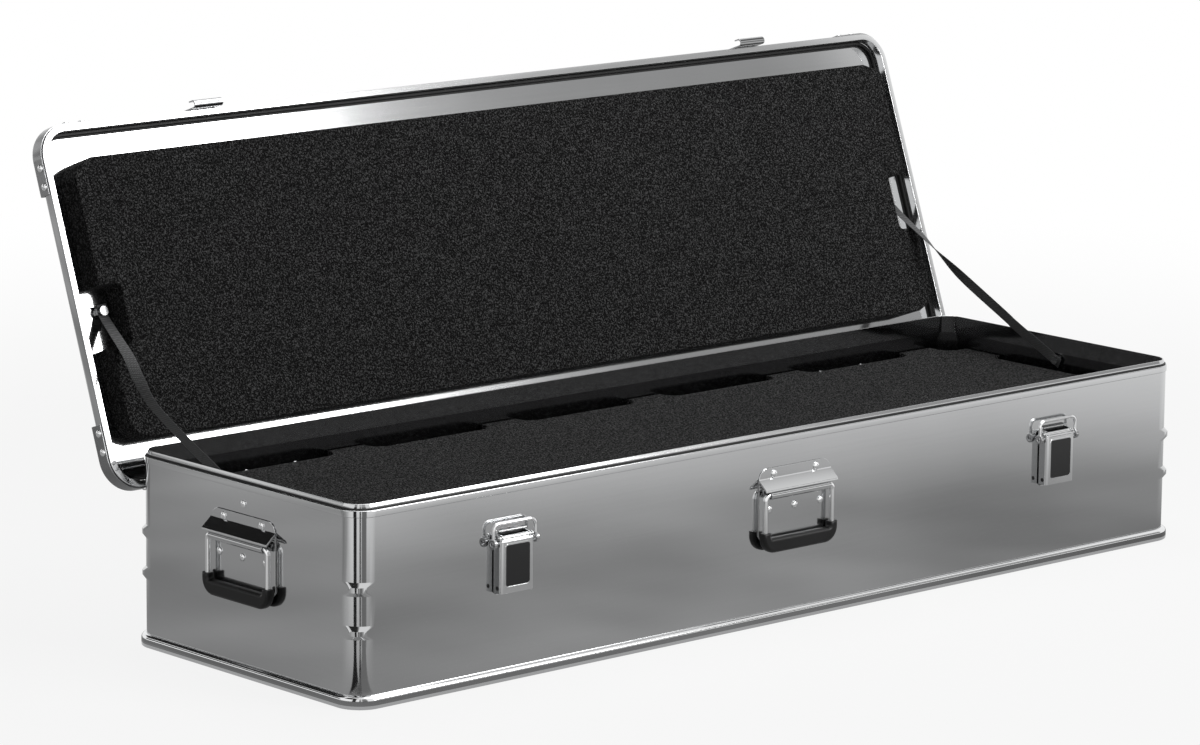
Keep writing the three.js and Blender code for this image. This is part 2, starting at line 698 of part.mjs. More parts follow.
// Hinges: the body leaf lies on the rear wall, the lid leaf inside the lid's frame.
const knuckleSpan = (2 * HINGE_HALF) / KNUCKLES;
const barrelD = HINGE_Y - HY;
const knuckle = (i) => {
  const from = -HINGE_HALF + i * knuckleSpan + RUN;
  return rod(BARREL_R, from, from + knuckleSpan - 2 * RUN, barrelD, HINGE_Z, 14);
};
const hingeBore = () =>
  rod(PIN_R + 0.1, -HINGE_HALF - 1, HINGE_HALF + 1, barrelD, HINGE_Z, 14);
const bodyLeaf = () => {
  const edge = HINGE_Z - BARREL_R - 1;
  const plate = slab(rectangle(HINGE_HALF, LEAF_LOW, edge, 0, 4), SEAT, SEAT + LEAF_T);
  const tongues = [0, 2, 4].flatMap((i) => {
    const from = -HINGE_HALF + i * knuckleSpan + RUN;
    const to = from + knuckleSpan - 2 * RUN;
    return [knuckle(i), block([from, to], [edge - 0.6, HINGE_Z], [SEAT, SEAT + LEAF_T])];
  });
  const aside = LEAF_RIVET[0];
  const heads = [-aside, aside].map((u) => rivet(u, leafRivetH, SEAT + LEAF_T));
  return cut(join(plate, ...tongues, ...heads), hingeBore());
};
const frameFace = LID_CY + LID_HY - FRAME_W - HY; // d of the frame's inner face at the rear
const lidLeaf = () => {
  const back = frameFace - RUN;
  const low = HINGE_Z + 2.3;
  const top = LID_LOW + FRAME_H;
  const plate = block([-HINGE_HALF, HINGE_HALF], [low, top], [back - LEAF_T, back]);
  const tongues = [1, 3].flatMap((i) => {
    const from = -HINGE_HALF + i * knuckleSpan + RUN;
    const to = from + knuckleSpan - 2 * RUN;
    return [knuckle(i), block([from, to], [low - 0.4, low + 1.1], [barrelD + 1.3, back])];
  });
  return cut(join(plate, ...tongues), hingeBore());
};
const hingePin = () =>
  rod(PIN_R, -HINGE_HALF - 0.6, HINGE_HALF + 0.6, barrelD, HINGE_Z, 14);

for (const [name, x] of [
  ["left", -HINGE_X],
  ["right", HINGE_X],
]) {
  add(`hinge_${name}_body_leaf`, "steel", rear(bodyLeaf(), x));
  add(`hinge_${name}_pin`, "steel", rear(hingePin(), x));
  add(`hinge_${name}_lid_leaf`, "steel", rear(lidLeaf(), x), lid);
}

// Lid shell and the frame inside its lower edge.
const edgeArc = (r, z, turns) =>
  Array.from({ length: turns + 1 }, (_, i) => {
    const a = ((Math.PI / 2) * i) / turns;
    return [r * Math.cos(a) - r, z + r * Math.sin(a)];
  });
const skirtLow = LID_LOW + FRAME_T + RUN;
const outerEdge = edgeArc(LID_EDGE_R, LID_TOP - LID_EDGE_R, 4);
const innerEdge = edgeArc(LID_EDGE_R - SHEET, LID_TOP - LID_EDGE_R, 4)
  .map(([o, z]) => [o - SHEET, z])
  .reverse();
const lidRing = ([o, z]) => ring(LID_HX + o, LID_HY + o, LID_R + o, z, LID_CY);
const lidShell = loft(
  [...innerEdge, [-SHEET, skirtLow], [0, skirtLow], ...outerEdge].map(lidRing),
  false,
);
add("lid_shell", "sheet", lidShell, lid);

const frameProfile = [
  [-FRAME_W, LID_LOW],
  [0, LID_LOW],
  [0, LID_LOW + FRAME_T],
  [FRAME_T - FRAME_W, LID_LOW + FRAME_T],
  [FRAME_T - FRAME_W, LID_LOW + FRAME_H],
  [-FRAME_W, LID_LOW + FRAME_H],
];
add("lid_frame", "extrusion", hoop(frameProfile, LID_HX, LID_HY, LID_R, LID_CY), lid);

// Lid corner brackets, with two rivets on each leg.
const bracketProfile = [
  [RUN, BRACKET_LOW],
  [RUN + BRACKET_T, BRACKET_LOW],
  [RUN + BRACKET_T, LID_TOP - 0.6],
  [RUN + 0.5, LID_TOP + 1],
  [-0.8, LID_TOP + RUN + BRACKET_T],
  [-BRACKET_TOP_W, LID_TOP + RUN + BRACKET_T],
  [-BRACKET_TOP_W, LID_TOP + RUN],
  [RUN, LID_TOP + RUN],
];
const bracketFace = RUN + BRACKET_T;
for (const [name, sx, sy] of [
  ["front_left", -1, -1],
  ["front_right", 1, -1],
  ["rear_right", 1, 1],
  ["rear_left", -1, 1],
]) {
  const strip = cornerStrip(
    bracketProfile,
    LID_HX,
    LID_HY,
    LID_R,
    BRACKET_LEG,
    sx,
    sy,
    LID_CY,
  );
  const heads = BRACKET_RIVETS.flatMap((at) => [
    onWall(rivet(0, BRACKET_RIVET_Z, 0))
      .rotateZ(sy < 0 ? 0 : Math.PI)
      .translate(sx * (LID_HX - at), LID_CY + sy * (LID_HY + bracketFace), 0),
    onWall(rivet(0, BRACKET_RIVET_Z, 0))
      .rotateZ((sx * Math.PI) / 2)
      .translate(sx * (LID_HX + bracketFace), LID_CY + sy * (LID_HY - at), 0),
  ]);
  add(`lid_bracket_${name}`, "sheet", join(strip, ...heads), lid);
}

// Lid catches: a plate on the front skirt that turns up into a hook for the bail.
const catchFace = RUN + CATCH_T;
const catchSection = [
  [RUN, LID_LOW - 7.4],
  [2.2, LID_LOW - 10.6],
  [4.6, LID_LOW - 11.2],
  [7.4, LID_LOW - 10.2],
  [9.2, LID_LOW - 7.6],
  [9.2, LID_LOW - 1],
  [7.8, LID_LOW - 1],
  [7.8, LID_LOW - 7],
  [6.6, LID_LOW - 8.8],
  [4.6, LID_LOW - 9.7],
  [3, LID_LOW - 9.3],
  [catchFace, LID_LOW - 6.9],
  [catchFace, LID_LOW + 13],
  [RUN, LID_LOW + 13],
];
const catchPlate = () => {
  const plate = rail(catchSection, -CATCH_HALF, CATCH_HALF);
  const heads = [-11, 11].map((u) => rivet(u, LID_LOW + 6.6, catchFace, 3.2, 1.6));
  return join(plate, ...heads);
};
for (const [name, x] of [
  ["left", -LATCH_X],
  ["right", LATCH_X],
]) {
  const placed = onWall(catchPlate()).translate(x, LID_CY - LID_HY, 0);
  add(`lid_catch_${name}`, "steel", placed, lid);
}

// Lid liner: one foam pad with cut corners and a recess at each strap anchor.
const [longX, longY, shortX, shortY] = LINER_CHAMFER;
const notchX = STRAP_TOP[0] - NOTCH_ROOM[0];
const notchY = [STRAP_TOP[1] - NOTCH_ROOM[1], STRAP_TOP[1] + NOTCH_ROOM[2]];
const linerSide = (sx) => notchY.map((y) => [sx * notchX, y, NOTCH_FILLET]);
const linerCorner = (sx, sy) => [
  [sx * (LINER_HX - longX), sy * LINER_HY],
  [sx * (LINER_HX - shortX), sy * (LINER_HY - shortY)],
  [sx * LINER_HX, sy * (LINER_HY - longY)],
];
const linerOutline = [
  ...linerCorner(1, -1),
  [LINER_HX, notchY[0]],
  ...linerSide(1),
  [LINER_HX, notchY[1]],
  ...linerCorner(1, 1).reverse(),
  ...linerCorner(-1, 1),
  [-LINER_HX, notchY[1]],
  ...linerSide(-1).reverse(),
  [-LINER_HX, notchY[0]],
  ...linerCorner(-1, -1).reverse(),
];
const linerTop = LID_TOP - SHEET - RUN;
add("lid_liner", "foam", slab(linerOutline, linerTop - LINER_T, linerTop), lid);

// Straps: webbing from a stud on the end wall to a stud on the lid's panel, turned
// a quarter on its way, with a hole at each end.
const openAngle = THREE.MathUtils.degToRad(OPEN_DEG);
const opened = (x, y, z, twist) => {
  const [dy, dz] = [y - HINGE_Y, z - HINGE_Z];
  const [c, s] = [Math.cos(openAngle), Math.sin(openAngle)];
  return [x, HINGE_Y + dy * c + dz * s, HINGE_Z - dy * s + dz * c, twist];
};
const stud = (r, side, a, b, y, z) => {
  const [low, high] = [side * a, side * b].sort((p, q) => p - q);
  return rod(r, low, high, 0, 0, 12).translate(0, y, z);
};
const upright = (r, x, y, z0, z1) =>
  new THREE.CylinderGeometry(r, r, z1 - z0, 12)
    .rotateX(Math.PI / 2)
    .translate(x, y, (z0 + z1) / 2);

const ribbon = (stations) => {
  const spine = stations.map(([x, y, z]) => new THREE.Vector3(x, y, z));
  const rings = stations.map(([, , , twist], i) => {
    const before = spine[Math.max(i - 1, 0)];
    const after = spine[Math.min(i + 1, spine.length - 1)];
    const along = after.clone().sub(before).normalize();
    const level = new THREE.Vector3(0, along.z, -along.y).normalize();
    const a = THREE.MathUtils.degToRad(twist);
    const wide = level.multiplyScalar(Math.cos(a)).add(new THREE.Vector3(Math.sin(a), 0, 0));
    wide.addScaledVector(along, -wide.dot(along)).normalize();
    const thick = along.clone().cross(wide).normalize();
    return [
      [-1, -1],
      [1, -1],
      [1, 1],
      [-1, 1],
    ].map(([w, t]) =>
      spine[i]
        .clone()
        .addScaledVector(wide, (w * STRAP_W) / 2)
        .addScaledVector(thick, (t * STRAP_T) / 2)
        .toArray(),
    );
  });
  const faces = [];
  for (let i = 0; i < rings.length - 1; i++) {
    for (let j = 0; j < 4; j++) {
      const k = (j + 1) % 4;
      faces.push(4 * i + j, 4 * i + k, 4 * i + 4 + k);
      faces.push(4 * i + j, 4 * i + 4 + k, 4 * i + 4 + j);
    }
  }
  const end = 4 * (rings.length - 1);
  faces.push(0, 2, 1, 0, 3, 2, end, end + 1, end + 2, end, end + 2, end + 3);
  const geometry = new THREE.BufferGeometry();
  geometry.setAttribute("position", new THREE.Float32BufferAttribute(rings.flat().flat(), 3));
  geometry.setIndex(faces);
  return geometry;
};
const flipped = (geometry, side) =>
  side > 0 ? geometry : swapped(geometry.toNonIndexed(), new THREE.Matrix4().makeScale(-1, 1, 1));

const [lowX, lowY, lowZ] = STRAP_LOW;
const [topX, topY, topZ] = STRAP_TOP;
const strapTail = 7;
const [, firstY, firstZ] = STRAP_RUN[0];
const slope = (firstZ - lowZ) / firstY;
const strapStations = [
  [lowX, lowY - strapTail, lowZ - strapTail * slope, 0],
  [lowX, lowY + strapTail, lowZ + strapTail * slope, 0],
  ...STRAP_RUN,
  opened(topX, topY + strapTail, topZ, 90),
  opened(topX, topY - strapTail, topZ, 90),
];
const [, holeY, holeZ] = opened(topX, topY, topZ);
const holeCut = upright(ANCHOR_R[1] + RUN, topX, 0, -3, 3)
  .rotateX(-openAngle)
  .translate(0, holeY, holeZ);
const strapSolid = () =>
  cut(
    ribbon(strapStations),
    stud(ANCHOR_R[1] + RUN, 1, lowX - 3, lowX + 3, lowY, lowZ),
    holeCut,
  );
const halfStrap = STRAP_T / 2 + RUN;
for (const [name, side] of [
  ["left", -1],
  ["right", 1],
]) {
  add(`strap_${name}`, "webbing", flipped(strapSolid(), side));
  const inner = lowX - halfStrap;
  const wallAnchor = join(
    stud(ANCHOR_R[0], side, inner - ANCHOR_T, inner, lowY, lowZ),
    stud(ANCHOR_R[1], side, inner - ANCHOR_T / 2, HX - SHEET - SEAT, lowY, lowZ),
    stud(ANCHOR_R[0], side, lowX + halfStrap, HX - SHEET - SEAT, lowY, lowZ),
  );
  add(`strap_wall_anchor_${name}`, "steel", wallAnchor);
  const panel = LID_TOP - SHEET - RUN;
  const lidAnchor = join(
    upright(ANCHOR_R[0], side * topX, topY, topZ + halfStrap, panel),
    upright(ANCHOR_R[1], side * topX, topY, topZ - halfStrap - ANCHOR_T / 2, topZ + 1.5),
    upright(ANCHOR_R[0], side * topX, topY, topZ - halfStrap - ANCHOR_T, topZ - halfStrap),
  );
  add(`strap_lid_anchor_${name}`, "steel", lidAnchor, lid);
}

// Foam layers with the same outline, stacked on the floor of the body.
const foamQuarter = [
  [FOAM_RECESS_X, FOAM_END[0], FOAM_FILLET - 5],
  [FOAM_HX, FOAM_END[0]],
  [FOAM_HX, FOAM_END[1]],
  [2.5 * FOAM_PITCH + FOAM_BLOCK / 2, FOAM_END[1], FOAM_FILLET],
];
for (const centre of [2.5 * FOAM_PITCH, 1.5 * FOAM_PITCH, 0.5 * FOAM_PITCH]) {
  const [a, b] = [centre + FOAM_BLOCK / 2, centre - FOAM_BLOCK / 2];
  if (centre < 2 * FOAM_PITCH) {
    foamQuarter.push([a, FOAM_RECESS_Y, FOAM_FILLET]);
  }
  foamQuarter.push([a, FOAM_HY], [b, FOAM_HY], [b, FOAM_RECESS_Y, FOAM_FILLET]);
}
const mirrored = (sx, sy) => {
  const turned = foamQuarter.map(([x, y, r = 0]) => [sx * x, sy * y, r]);
  return sx * sy > 0 ? turned : turned.reverse();
};
const foamOutline = [
  ...mirrored(1, 1),
  ...mirrored(-1, 1),
  ...mirrored(-1, -1),
  ...mirrored(1, -1),
];
let foamLow = SHEET + SEAT;
FOAM_T.forEach((thick, i) => {
  add(`foam_layer_${i + 1}`, "foam", slab(foamOutline, foamLow, foamLow + thick));
  foamLow += thick + SEAT;
});

// The lid is drawn closed and stands open at rest.
lid.applyMatrix4(
  new THREE.Matrix4()
    .makeTranslation(0, HINGE_Y, HINGE_Z)
    .multiply(new THREE.Matrix4().makeRotationX(-openAngle))
    .multiply(new THREE.Matrix4().makeTranslation(0, -HINGE_Y, -HINGE_Z)),
);
part.add(lid);

export default part;
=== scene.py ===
import math

import bmesh
import bpy
from mathutils import Matrix, Vector


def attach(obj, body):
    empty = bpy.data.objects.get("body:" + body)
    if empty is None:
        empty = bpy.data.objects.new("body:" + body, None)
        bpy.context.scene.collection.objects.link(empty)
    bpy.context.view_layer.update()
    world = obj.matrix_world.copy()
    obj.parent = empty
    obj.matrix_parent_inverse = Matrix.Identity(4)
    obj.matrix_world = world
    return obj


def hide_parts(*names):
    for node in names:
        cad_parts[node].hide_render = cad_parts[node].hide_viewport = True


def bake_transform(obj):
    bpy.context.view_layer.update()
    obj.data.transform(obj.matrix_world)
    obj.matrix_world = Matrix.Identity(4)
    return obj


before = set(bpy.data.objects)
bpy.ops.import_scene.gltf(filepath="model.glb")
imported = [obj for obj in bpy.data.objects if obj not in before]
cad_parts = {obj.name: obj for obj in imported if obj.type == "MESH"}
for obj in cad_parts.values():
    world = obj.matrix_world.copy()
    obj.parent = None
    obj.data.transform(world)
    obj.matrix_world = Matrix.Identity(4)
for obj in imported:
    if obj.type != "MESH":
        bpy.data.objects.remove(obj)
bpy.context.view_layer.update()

# View of the case: a long lens from the front left corner, a little above the rim, the way the
# piece was photographed. The frame is 1200 by 745.
lens_px = 5208.79
camera_place = Vector((-3.7739, -4.0554, 1.3411))
camera_turn = math.radians(-42.044)
camera_rise = math.radians(11.252)
camera_roll = math.radians(0.551)

back = Vector((
    math.sin(camera_turn) * math.cos(camera_rise),
    -math.cos(camera_turn) * math.cos(camera_rise),
    math.sin(camera_rise),
))
level = Vector((math.cos(camera_turn), math.sin(camera_turn), 0))
upright = back.cross(level)
right = level * math.cos(camera_roll) + upright * math.sin(camera_roll)
up = upright * math.cos(camera_roll) - level * math.sin(camera_roll)
camera_data = bpy.data.cameras.new("view_from_front_left")
camera_data.sensor_fit = "HORIZONTAL"
camera_data.sensor_width = 36
camera_data.lens = lens_px / 1200 * 36
camera_data.clip_end = 60
camera = bpy.data.objects.new("view_from_front_left", camera_data)
camera.matrix_world = Matrix((
    (right.x, up.x, back.x, camera_place.x),
    (right.y, up.y, back.y, camera_place.y),
    (right.z, up.z, back.z, camera_place.z),
    (0, 0, 0, 1),
))
bpy.context.scene.collection.objects.link(camera)
bpy.context.scene.camera = camera
bpy.context.scene.view_settings.view_transform = "Standard"

# Tray: one sheet of aluminium drawn and folded to a long box with welded, rounded corners. Two
# beads pressed into each upright corner stiffen it, and the sheet keeps its rolled, bright skin.
MM = 0.001
case_half_length = 600
case_half_width = 180
sheet = 1.5
wall_top = 194.6
corner_radius = 24
bead_radius = 14
bead_slope = 4.5
foot_round = 2
beads = ((70.4, 84.4), (114.5, 128.9))


def corner_ring(half_length, half_width, r, z, middle=0, steps=14):
    """A level loop with rounded corners, anticlockwise from the front right corner."""
    points = []
    for sx, sy, start in ((1, -1, -90), (1, 1, 0), (-1, 1, 90), (-1, -1, 180)):
        for k in range(steps + 1):
            a = math.radians(start + 90 * k / steps)
            points.append((
                sx * (half_length - r) + r * math.cos(a),
                middle + sy * (half_width - r) + r * math.sin(a),
                z,
            ))
    return points


def between_loops(loops, closed=False, capped=True):
    """Points and faces of a skin over loops of equal length."""
    count = len(loops[0])
    points = [p for loop in loops for p in loop]
    faces = []
    for i in range(len(loops) if closed else len(loops) - 1):
        j = (i + 1) % len(loops)
        for a in range(count):
            b = (a + 1) % count
            faces.append((i * count + a, i * count + b, j * count + b, j * count + a))
    if capped and not closed:
        faces.append(tuple(reversed(range(count))))
        faces.append(tuple(range((len(loops) - 1) * count, len(loops) * count)))
    return points, faces


def welded_mesh(name, points, faces, finish):
    """A closed mesh in one finish, from points in millimetres."""
    mesh = bpy.data.meshes.new(name)
    mesh.from_pydata([tuple(c * MM for c in p) for p in points], [], faces)
    shape = bmesh.new()
    shape.from_mesh(mesh)
    bmesh.ops.remove_doubles(shape, verts=shape.verts, dist=2e-6)
    bmesh.ops.recalc_face_normals(shape, faces=shape.faces)
    shape.to_mesh(mesh)
    shape.free()
    mesh.materials.append(finish)
    return mesh


def set_out(name, data):
    piece = bpy.data.objects.new(name, data)
    bpy.context.scene.collection.objects.link(piece)
    return piece


def ease_edges(piece, width, angle, segments=2):
    """Breaks a piece's sharp edges with a small round, its width in millimetres."""
    bevel = piece.modifiers.new("eased_edges", "BEVEL")
    bevel.width = width * MM
    bevel.segments = segments
    bevel.limit_method = "ANGLE"
    bevel.angle_limit = math.radians(angle)


def make(name, points, faces, finish, body, nodes=(), slot=None, edge=0, crease=32):
    """A piece of the case from points in millimetres, riding on a body and standing for nodes."""
    mesh = welded_mesh(name, points, faces, finish)
    mesh.shade_smooth()
    mesh.set_sharp_from_angle(angle=math.radians(crease))
    piece = set_out(name, mesh)
    if edge:
        ease_edges(piece, edge, crease)
    flat = piece.modifiers.new("flat_faces_stay_flat", "WEIGHTED_NORMAL")
    flat.keep_sharp = True
    flat.weight = 100
    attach(piece, body)
    if nodes:
        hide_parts(*nodes)
    return piece


def second_finish(piece, finish, chosen):
    """Gives the chosen faces of a piece another finish."""
    piece.data.materials.append(finish)
    for face in piece.data.polygons:
        if chosen(face):
            face.material_index = 1


def feed(tree, node, inputs):
    """Sets or links a shader node's inputs, given by name or number."""
    for key, value in inputs.items():
        if isinstance(value, bpy.types.NodeSocket):
            tree.links.new(value, node.inputs[key])
        else:
            node.inputs[key].default_value = value


def shade(tree, kind, inputs, **settings):
    """A new shader node with its settings made and its inputs fed."""
    node = tree.nodes.new(kind)
    for key, value in settings.items():
        setattr(node, key, value)
    feed(tree, node, inputs)
    return node


def new_finish(name):
    """A new material: its node tree, its shader and the place on the piece."""
    finish = bpy.data.materials.new(name)
    finish.use_nodes = True
    tree = finish.node_tree
    place = tree.nodes.new("ShaderNodeTexCoord").outputs["Object"]
    return finish, tree, tree.nodes["Principled BSDF"], place


def two_tones(tree, dark, light, share):
    """A colour between a dark and a light one."""
    tone = shade(tree, "ShaderNodeMix", {"A": (*dark, 1), "B": (*light, 1), "Factor": share},
                 data_type="RGBA")
    return tone.outputs["Result"]


def metal(name, colour, rough, streak, cloud=0.05, swirl=0, grain=0):
    """Bare metal: faint tone clouds, fine rolling streaks and a gently uneven surface."""
    finish, tree, skin, place = new_finish(name)
    clouds = shade(tree, "ShaderNodeTexNoise", {"Scale": 6, "Detail": 3, "Vector": place})
    stretch = shade(tree, "ShaderNodeMapping", {"Scale": streak, "Vector": place})
    streaks = shade(tree, "ShaderNodeTexNoise",
                    {"Scale": 1, "Detail": 5, "Vector": stretch.outputs["Vector"]})
    lower = shade(tree, "ShaderNodeMath", {0: clouds.outputs["Fac"], 1: 0.65},
                  operation="MULTIPLY")
    both = shade(tree, "ShaderNodeMath",
                 {0: streaks.outputs["Fac"], 1: 0.35, 2: lower.outputs[0]},
                 operation="MULTIPLY_ADD")
    wear = shade(tree, "ShaderNodeMapRange", {
        "Value": both.outputs[0], "From Min": 0.3, "From Max": 0.7,
        "To Min": rough * 0.75, "To Max": rough * 1.3,
    })
    look = {
        "Metallic": 1,
        "Base Color": two_tones(tree, [c * (1 - cloud) for c in colour],
                                [min(1, c * (1 + cloud)) for c in colour], both.outputs[0]),
        "Roughness": wear.outputs["Result"],
    }
    surface = {}
    if swirl:
        wave = shade(tree, "ShaderNodeTexNoise", {"Scale": 3.2, "Detail": 1, "Vector": place})
        swell = shade(tree, "ShaderNodeBump",
                      {"Strength": 1, "Distance": swirl, "Height": wave.outputs["Fac"]})
        surface = {"Normal": swell.outputs["Normal"]}
    if grain:
        fine = shade(tree, "ShaderNodeBump", {
            "Strength": 1, "Distance": grain, "Height": streaks.outputs["Fac"], **surface})
        surface = {"Normal": fine.outputs["Normal"]}
    feed(tree, skin, {**look, **surface})
    return finish


bright_sheet = metal("bright_rolled_sheet", (0.60, 0.605, 0.61), 0.085, streak=(3, 3, 500),
                     cloud=0.06, swirl=0.0022, grain=0.0000015)

outer = [(0.0, corner_radius)]
for low, high in beads:
    outer += [(low, corner_radius), (low + bead_slope, bead_radius)]
    outer += [(high - bead_slope, bead_radius), (high, corner_radius)]
outer.append((wall_top, corner_radius))
inner = [(max(z, sheet), r - sheet) for z, r in reversed(outer)]
loops = [corner_ring(case_half_length - foot_round, case_half_width - foot_round,
                     corner_radius - foot_round, 0),
         corner_ring(case_half_length, case_half_width, corner_radius, foot_round)]
loops += [corner_ring(case_half_length, case_half_width, r, z) for z, r in outer[1:]]
loops += [corner_ring(case_half_length - sheet, case_half_width - sheet, r, z) for z, r in inner]
tray = make("drawn_tray", *between_loops(loops), bright_sheet, "case", ("body_shell",),
            "sheet", crease=25)
# Painted shade: the inside of the walls and the floor get a darker, rougher copy of the sheet's
# metal.
inner_shade_sheet = metal("painted_shade_inner_sheet", (0.26, 0.263, 0.267), 0.13, streak=(3, 3, 400),
                     cloud=0.12, swirl=0.0022, grain=0.0000015)


def faces_inward(face):
    """True on the inside of the walls and on the floor of the tray."""
    x, y, z = face.center
    outward = face.normal.x * x + face.normal.y * y
    return outward < -0.001 or (face.normal.z > 0.9 and z < 0.1)


second_finish(tray, inner_shade_sheet, faces_inward)

# Rivet that holds each lid strap: a closed dome head on the outside of the end wall, set in
# after the wall is drilled.
strap_height = 180
rivet_radius, rivet_high = 4, 2.4


def ring_of(radius, sides):
    return [(radius * math.cos(2 * math.pi * k / sides), radius * math.sin(2 * math.pi * k / sides))
            for k in range(sides)]


def dome(radius, high):
    """A low rivet head: a short straight edge, a round shoulder and a flat crown."""
    edge_share = 0.28
    profile = [(radius, 0), (radius, high * edge_share)]
    for k in range(1, 7):
        a = math.radians(90 * k / 7)
        profile.append((radius * math.cos(a) * 0.98,
                        high * (edge_share + (1 - edge_share) * math.sin(a))))
    return between_loops([[(x, y, z) for x, y in ring_of(r, 24)] for r, z in profile])


def on_left(u, h, d):
    return (-case_half_length - d, -u, h)


def on_right(u, h, d):
    return (case_half_length + d, u, h)


def placed(shape, put):
    """A shape in (u, h, d) set on a wall."""
    points, faces = shape
    return [put(*p) for p in points], faces


def rivet_at(u, h, d):
    points, faces = dome(rivet_radius, rivet_high)
    return [(u + x, h + y, d + z) for x, y, z in points], faces


rivet_metal = metal("bright_rivet", (0.86, 0.865, 0.87), 0.05, streak=(60, 60, 60), cloud=0.04)
for side, put in (("left", on_left), ("right", on_right)):
    make(f"strap_rivet_{side}", *placed(rivet_at(0, strap_height, 0), put), rivet_metal,
         "case", slot="sheet")

# Rim: an aluminium extrusion pressed over the tray's top edge. Its flat face stands a little
# proud of the wall, a ledge turns in, and an upright lip on the inside keeps rain out.
rim_proud = 1.0
rim_low = 194.8
ledge = 202.0
lip_top = 208.0
lip_in = 4.2
lip_sheet = 2.4
lip_bevel, lip_bevel_high = 1.4, 2.9
rim_leg = 188.0
clip_gap = 0.3


def rounded(outline, steps=4):
    """Points of an outline of (x, y, corner radius), each corner turned in a few steps."""
    points = []
    count = len(outline)
    for i, (x, y, r) in enumerate(outline):
        if r <= 0:
            points.append((x, y))
            continue
        at = Vector((x, y))
        before = (Vector(outline[i - 1][:2]) - at).normalized()
        after = (Vector(outline[(i + 1) % count][:2]) - at).normalized()
        half = math.acos(max(-1, min(1, before.dot(after)))) / 2
        centre = at + (before + after).normalized() * (r / math.sin(half))
        start = at + before * (r / math.tan(half)) - centre
        end = at + after * (r / math.tan(half)) - centre
        sweep = math.atan2(start.x * end.y - start.y * end.x, start.dot(end))
        first = math.atan2(start.y, start.x)
        for k in range(steps + 1):
            a = first + sweep * k / steps
            points.append((centre.x + r * math.cos(a), centre.y + r * math.sin(a)))
    return points


def band_round(name, profile, half_length, half_width, r, middle, finish, body, nodes, slot,
               turn=None):
    """A closed profile of (outward, height) carried round a rounded rectangle."""
    loops = [corner_ring(half_length + o, half_width + o, r + o, z, middle) for o, z in profile]
    points, faces = between_loops(loops, closed=True)
    if turn:
        points = [turn(p) for p in points]
    return make(name, points, faces, finish, body, nodes, slot)


rim_profile = rounded([
    (-lip_in, rim_leg, 0.3),
    (-sheet - clip_gap, rim_leg, 0.3),
    (-sheet - clip_gap, rim_low, 0),
    (0.2, rim_low, 0),
    (rim_proud, rim_low, 0.5),
    (rim_proud, ledge, 1.1),
    (lip_sheet - lip_in, ledge, 0.4),
    (lip_sheet - lip_in, lip_top - lip_bevel_high, 0.5),
    (lip_sheet - lip_in - lip_bevel, lip_top, 0.5),
    (-lip_in, lip_top, 0.5),
], 3)
rim_metal = metal("satin_rim_extrusion", (0.62, 0.625, 0.63), 0.08, streak=(4, 4, 900),
                  cloud=0.05, grain=0.000001)
band_round("rim_extrusion", rim_profile, case_half_length, case_half_width, corner_radius, 0,
           rim_metal, "case", ("body_rim",), "extrusion")

# Rim line: a slim black rubber strip in the corner between the rim's ledge and its lip, where the
# shut lid rests.
# It is painted shade: it draws the dark band along the foot of the lip.
def moulded(name, colour, rough, scale, depth, gloss=0.5):
    """Moulded plastic or rubber with a fine spark-eroded grain and slightly uneven gloss."""
    finish, tree, skin, place = new_finish(name)
    grain = shade(tree, "ShaderNodeTexNoise", {"Scale": scale, "Detail": 3, "Vector": place})
    patches = shade(tree, "ShaderNodeTexNoise", {"Scale": 40, "Vector": place})
    uneven = shade(tree, "ShaderNodeMapRange", {
        "Value": patches.outputs["Fac"], "To Min": rough * 0.8, "To Max": rough * 1.25})
    dimple = shade(tree, "ShaderNodeBump", {"Distance": depth, "Height": grain.outputs["Fac"]})
    feed(tree, skin, {
        "Specular IOR Level": gloss,
        "Base Color": two_tones(tree, [c * 0.7 for c in colour], [c * 1.3 for c in colour],
                                grain.outputs["Fac"]),
        "Roughness": uneven.outputs["Result"],
        "Normal": dimple.outputs["Normal"],
    })
    return finish


seal_rubber = moulded("black_seal_rubber", (0.006, 0.006, 0.0062), 0.45, 1500, 0.00002, gloss=0.3)
rim_dark_line_profile = rounded([
    (-1.78, ledge + 0.03, 0), (-0.3, ledge + 0.03, 0.3), (-0.5, ledge + 1.4, 0.5),
    (-1.78, ledge + 2.1, 0.2),
], 4)
band_round("rim_dark_line_cord", rim_dark_line_profile, case_half_length, case_half_width, corner_radius, 0,
           seal_rubber, "case", (), "grip")

# Base hoop: a plain half-round extruded bumper bent round the foot of the tray, with its ends
# welded. Its side and underside are painted darker than its rounded top: painted shade.
hoop_proud = 5.7
hoop_high = 13.4
hoop_profile = rounded([
    (0.2, 0, 0), (hoop_proud, 0, 1.6), (hoop_proud, hoop_high, 5.2), (0.2, hoop_high, 0),
], 8)
extrusion = metal("bright_extrusion", (0.80, 0.805, 0.81), 0.10, streak=(4, 4, 900),
                  cloud=0.04, grain=0.000001)
# Painted shade: a darker, rougher copy of the hoop's metal for its side and underside.
hoop_shade_side = metal("painted_shade_hoop_side", (0.36, 0.363, 0.367), 0.16, streak=(4, 4, 900),
                    cloud=0.12, grain=0.000001)
bumper = band_round("base_bumper", hoop_profile, case_half_length, case_half_width,
                    corner_radius, 0, extrusion, "case", ("base_hoop",), "extrusion")
second_finish(bumper, hoop_shade_side, lambda face: face.normal.z < 0.2)

